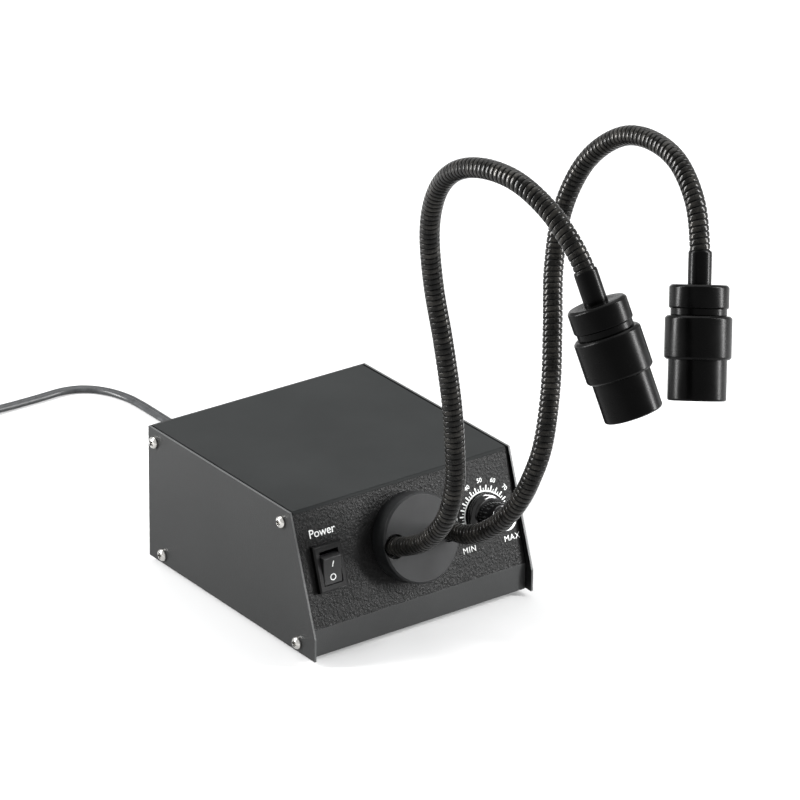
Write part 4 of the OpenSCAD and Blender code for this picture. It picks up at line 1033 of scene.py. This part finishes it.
def makeKnob():
    place = onSlope(knob["x"], knob["s"], knob["lift"], knob["turn"])
    bm = turnProfile(roundCorners(knob["outline"], 0.9, 5), 96)
    makePiece("knobBody", bm, "knob", "dimmer", place, ("dimmer_knob",), 40)
    fin = cutAcross(knob["fin"], knob["finWidth"])
    bevelSharp(fin, knob["finEdge"], 3, 20)
    flattenShading(makePiece("knobFin", fin, "knob", "dimmer", place, (), 50))
    out, up = knob["lineOut"]
    over = [(reach + out, height + up) for reach, height in knob["line"]]
    under = [(reach - out, height - up) for reach, height in knob["line"]]
    line = cutAcross(over + under[::-1], knob["lineWidth"])
    makePiece("knobLine", line, "print", "dimmer", place)


makeKnob()
print("knob made")


# swan necks: routes as offsets from each hole in the hub's face
necks = {
    "across": 14.6, "s": 27.6, "height": 9.5, "seat": 8, "endIn": 4.0, "chords": 6,
    "breaks": [34, 92, 150, 208, 262], "blend": 12.0,
    "radius": 4.35, "groove": 0.5, "pitch": 2.5, "sides": 32, "weld": 0.002,
    "rib": [(0.0, 1.0), (0.07, 0.96), (0.10, 0.5), (0.14, 0.12), (0.2, 0.02), (0.5, 0.0), (0.82, 0.02),
            (0.88, 0.12), (0.92, 0.5), (0.95, 0.96), (1.0, 1.0)],
    "left": [(0, 0, 0), (0, -10, 4.5), (0, -21, 11), (-0.5, -31, 20.5), (-1, -38.5, 31.5),
             (-1, -43, 47), (-2, -44, 64), (-3, -42.5, 86), (-5, -38.5, 113), (-8, -35, 139),
             (-11.5, -36.5, 165), (-13.5, -44, 185), (-15, -58, 199), (-15, -77, 206.5), (-13.5, -98, 207),
             (-11, -117, 199), (-8.5, -132, 185), (-6, -140.5, 167.5)],
    "right": [(0, 0, 0), (0.5, -11, 2), (1.5, -23, 8), (3, -34, 17.5), (4, -43, 28.5),
              (5.5, -50, 42.5), (9, -53.5, 60), (15.5, -49.5, 84), (22, -41.5, 108), (28.5, -33, 129),
              (35.5, -28.5, 151), (41, -32, 169.5), (44.5, -41.5, 183.5), (46.5, -57, 194), (47, -74.5, 197),
              (46, -92, 193.5), (43, -107, 182), (39, -116, 166.5), (35, -121.5, 151.5)],
}


class Route:
    # a neck's curve, measured along a few chords to each of its spans
    def __init__(self, points, start):
        self.points = withEnds([Vector(point) + start for point in points])
        self.marks = [0.0]
        last = self.spot(0)
        for k in range(1, (len(points) - 1) * necks["chords"] + 1):
            here = self.spot(k / necks["chords"])
            self.marks.append(self.marks[-1] + (here - last).length)
            last = here
        self.length = self.marks[-1]

    def spot(self, u, slope=False):
        span = min(max(int(u), 0), len(self.points) - 4)
        a, b, c, d = self.points[span:span + 4]
        t = u - span
        if slope:
            return 0.5 * ((c - a) + 2 * (2 * a - 5 * b + 4 * c - d) * t + 3 * (3 * b - a - 3 * c + d) * t * t)
        return curveAt(a, b, c, d, t)

    def parameter(self, along):
        along = min(max(along, 0.0), self.length)
        low, high = 0, len(self.marks) - 1
        while high - low > 1:
            middle = (low + high) // 2
            low, high = (middle, high) if self.marks[middle] <= along else (low, middle)
        return (low + (along - self.marks[low]) / (self.marks[high] - self.marks[low])) / necks["chords"]

    def at(self, along):
        return self.spot(self.parameter(along))

    def heading(self, along):
        return self.spot(self.parameter(along), True).normalized()


def neckRoute(name, side):
    # starts inside its hole in the hub
    hole = slopePoint(side * necks["across"], necks["s"], necks["height"])
    return Route([Vector(slope["out"]) * -necks["seat"], *necks[name]], hole)


routes = {name: neckRoute(name, side) for name, side in (("left", -1), ("right", 1))}


def makeHose(start, end):
    # straight ribbed hose between two lengths, its ribs wound as one screw thread
    pitch, sidesRound = necks["pitch"], necks["sides"]
    first = math.floor(start / pitch) - 1
    turns = math.ceil(end / pitch) + 1 - first
    bm = bmesh.new()
    points = [bm.verts.new((necks["radius"] - necks["groove"] * sunk, 0, (first + t) * pitch))
              for t, sunk in necks["rib"]]
    for a, b in zip(points, points[1:]):
        bm.edges.new((a, b))
    bmesh.ops.spin(bm, geom=bm.verts[:] + bm.edges[:], cent=(0, 0, 0), axis=(0, 0, 1),
                   dvec=(0, 0, pitch / sidesRound), angle=math.tau, steps=sidesRound,
                   use_merge=False, use_duplicate=False)
    oneTurn = bm.verts[:] + bm.edges[:] + bm.faces[:]
    for turn in range(1, turns):
        copied = bmesh.ops.duplicate(bm, geom=oneTurn)
        bmesh.ops.translate(bm, vec=(0, 0, pitch * turn), verts=newVerts(copied))
    weld(bm, necks["weld"])
    for height, outward in ((start, -1), (end, 1)):
        bmesh.ops.bisect_plane(bm, geom=bm.verts[:] + bm.edges[:] + bm.faces[:], plane_co=(0, 0, height),
                               plane_no=(0, 0, outward), clear_outer=True, dist=0.0001)
    weld(bm, necks["weld"])
    closeHoles(bm)
    splitWide(bm)
    faceOut(bm)
    crest = bm.verts.layers.float.new("crest")
    for vert in bm.verts:
        sunk = (necks["radius"] - math.hypot(vert.co.x, vert.co.y)) / necks["groove"]
        vert[crest] = min(max(1 - sunk, 0), 1)
    return bm


def bendAlong(bm, route):
    for vert in bm.verts:
        along = vert.co.z
        way = route.heading(along)
        side = Vector((1, 0, 0)).cross(way).normalized()
        vert.co = route.at(along) + side * vert.co.x + way.cross(side) * vert.co.y


def makeNecks():
    breaks = necks["breaks"]
    for side, route in routes.items():
        cuts = [0.0, *[(a + b) / 2 for a, b in zip(breaks, breaks[1:])], route.length - necks["endIn"]]
        for k, joint in enumerate(breaks):
            bm = makeHose(cuts[k], cuts[k + 1])
            bendAlong(bm, route)
            nodes = [f"{side}_neck_{k + 1}"] + ([f"{side}_neck_{k + 2}"] if k == len(breaks) - 1 else [])
            piece = makePiece(f"{side}Hose{k + 1}", bm, "hose", None, rowPlace, nodes, 60)
            route.at(joint - necks["blend"]) * mm
            route.at(joint + necks["blend"]) * mm
            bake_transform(piece)


makeNecks()
print("necks made")


# heads: turned pieces drawn along the head from the collar's top
heads = {
    "ferrule": {"on": "length_6", "round": 0.5, "outline": [
        (4.45, -8), (4.45, -13.6), (4.62, -14), (4.95, -13.3), (4.95, 4), (2.8, 4), (2.8, -3.8), (4.45, -3.8),
        (4.45, -8)]},
    "collar": {"on": "length_6", "round": 0.35, "outline": [
        (4.98, 2), (4.98, 0), (11.5, 0), (12.5, 1.0), (12.5, 9.4), (12.0, 9.9), (11.75, 9.9), (11.75, 12.8),
        (9.75, 12.8), (9.75, 15.8), (7.75, 15.8), (7.75, 6), (3.5, 6), (3.5, 4.1), (4.98, 4.1), (4.98, 2)]},
    "barrel": {"on": "length_6", "round": 0.3, "outline": [
        (9.8, 14), (9.8, 12.8), (13.0, 12.8), (14.0, 13.8), (14.0, 30.0), (13.0, 31.0), (12.3, 31.0),
        (12.3, 16.3), (9.8, 16.3), (9.8, 14)]},
    "tube": {"on": "focus", "round": 0.3, "outline": [
        (9.0, 30), (9.0, 21), (12.25, 21), (12.25, 47.4), (11.7, 48), (10.05, 48), (10.05, 42.5), (9.0, 42.5),
        (9.0, 30)]},
    "ring": {"on": "focus", "round": 0.2, "outline": [
        (10.0, 44.4), (10.0, 43.95), (9.1, 43.95), (9.1, 45.2), (10.0, 45.2), (10.0, 44.4)]},
}
headNodes = {"ferrule": "ferrule", "collar": "collar", "barrel": "barrel", "tube": "focus_tube"}
headRun = 8  # the last stretch of a neck, which sets the way its head points
lens = {"radius": 10.0, "low": 42.5, "rim": 1.4, "rise": 1.6, "edge": 0.4, "steps": 16}


def lensOutline():
    radius, rim = lens["radius"], lens["low"] + lens["rim"]
    bulge = (radius ** 2 + lens["rise"] ** 2) / (2 * lens["rise"])
    outline = [(0, lens["low"]), (radius, lens["low"]), (radius, rim)]
    for step in range(lens["steps"], -1, -1):
        reach = step / lens["steps"] * (radius - lens["edge"])
        outline.append((reach, rim + lens["rise"] - bulge + math.sqrt(bulge ** 2 - reach ** 2)))
    return outline


def makeHeads():
    for side, route in routes.items():
        end = route.at(route.length)
        place = placeIn(end * mm, end - route.at(route.length - headRun))
        for kind, turned in heads.items():
            bm = turnProfile(roundCorners(turned["outline"], turned["round"], 4), 128)
            nodes = [f"{side}_{headNodes[kind]}"] if kind in headNodes else []
            makePiece(f"{side}{kind.capitalize()}", bm, "anodised", f"{side}_{turned['on']}",
                      place, nodes, 35)
        makePiece(f"{side}Lens", turnProfile(lensOutline(), 96), "glass", f"{side}_focus",
                  place, (f"{side}_lens",), 35)


makeHeads()
print("heads made")


# carried-over CAD nodes get the finish of what they are
nodeFinishes = {
    "foot_screws": "zinc", "dimmer_potentiometer": "zinc", "potentiometer_nut": "nickel",
    "potentiometer_shaft": "steel", "knob_set_screw": "zinc", "hub_clamp_plate": "steel",
    "hub_screws": "zinc",
    "fibre_bundle": "fibre", "bundle_tip": "steel", "lens_holder": "aluminium", "condenser_lens": "glass",
    "led_module": "led", "heat_sink": "aluminium", "lamp_bracket": "steel", "fan_frame": "fan",
    "fan_rotor": "fan", "fan_screws": "zinc", "driver_board": "board", "board_parts": "parts",
    "board_standoffs": "brass", "board_screws": "zinc", "left_lens": "glass", "right_lens": "glass",
    "light_guide_hub": "hub", "dimmer_knob": "knob", "switch_body": "switch", "switch_rocker": "rocker",
    "left_side_plate": "sheet", "right_side_plate": "sheet", "top_cover": "sheet", "front_panel": "wrinkle",
    "rear_panel": "sheet", "base_plate": "sheet", "side_screws": "nickel", "rubber_feet": "rubber",
}


def dressNodes():
    for name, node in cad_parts.items():
        finish = finishes[nodeFinishes.get(name, "anodised")]
        if not node.data.materials:
            node.data.materials.append(finish)
        for slot in node.material_slots:
            slot.material = finish


dressNodes()
print("CAD nodes dressed")
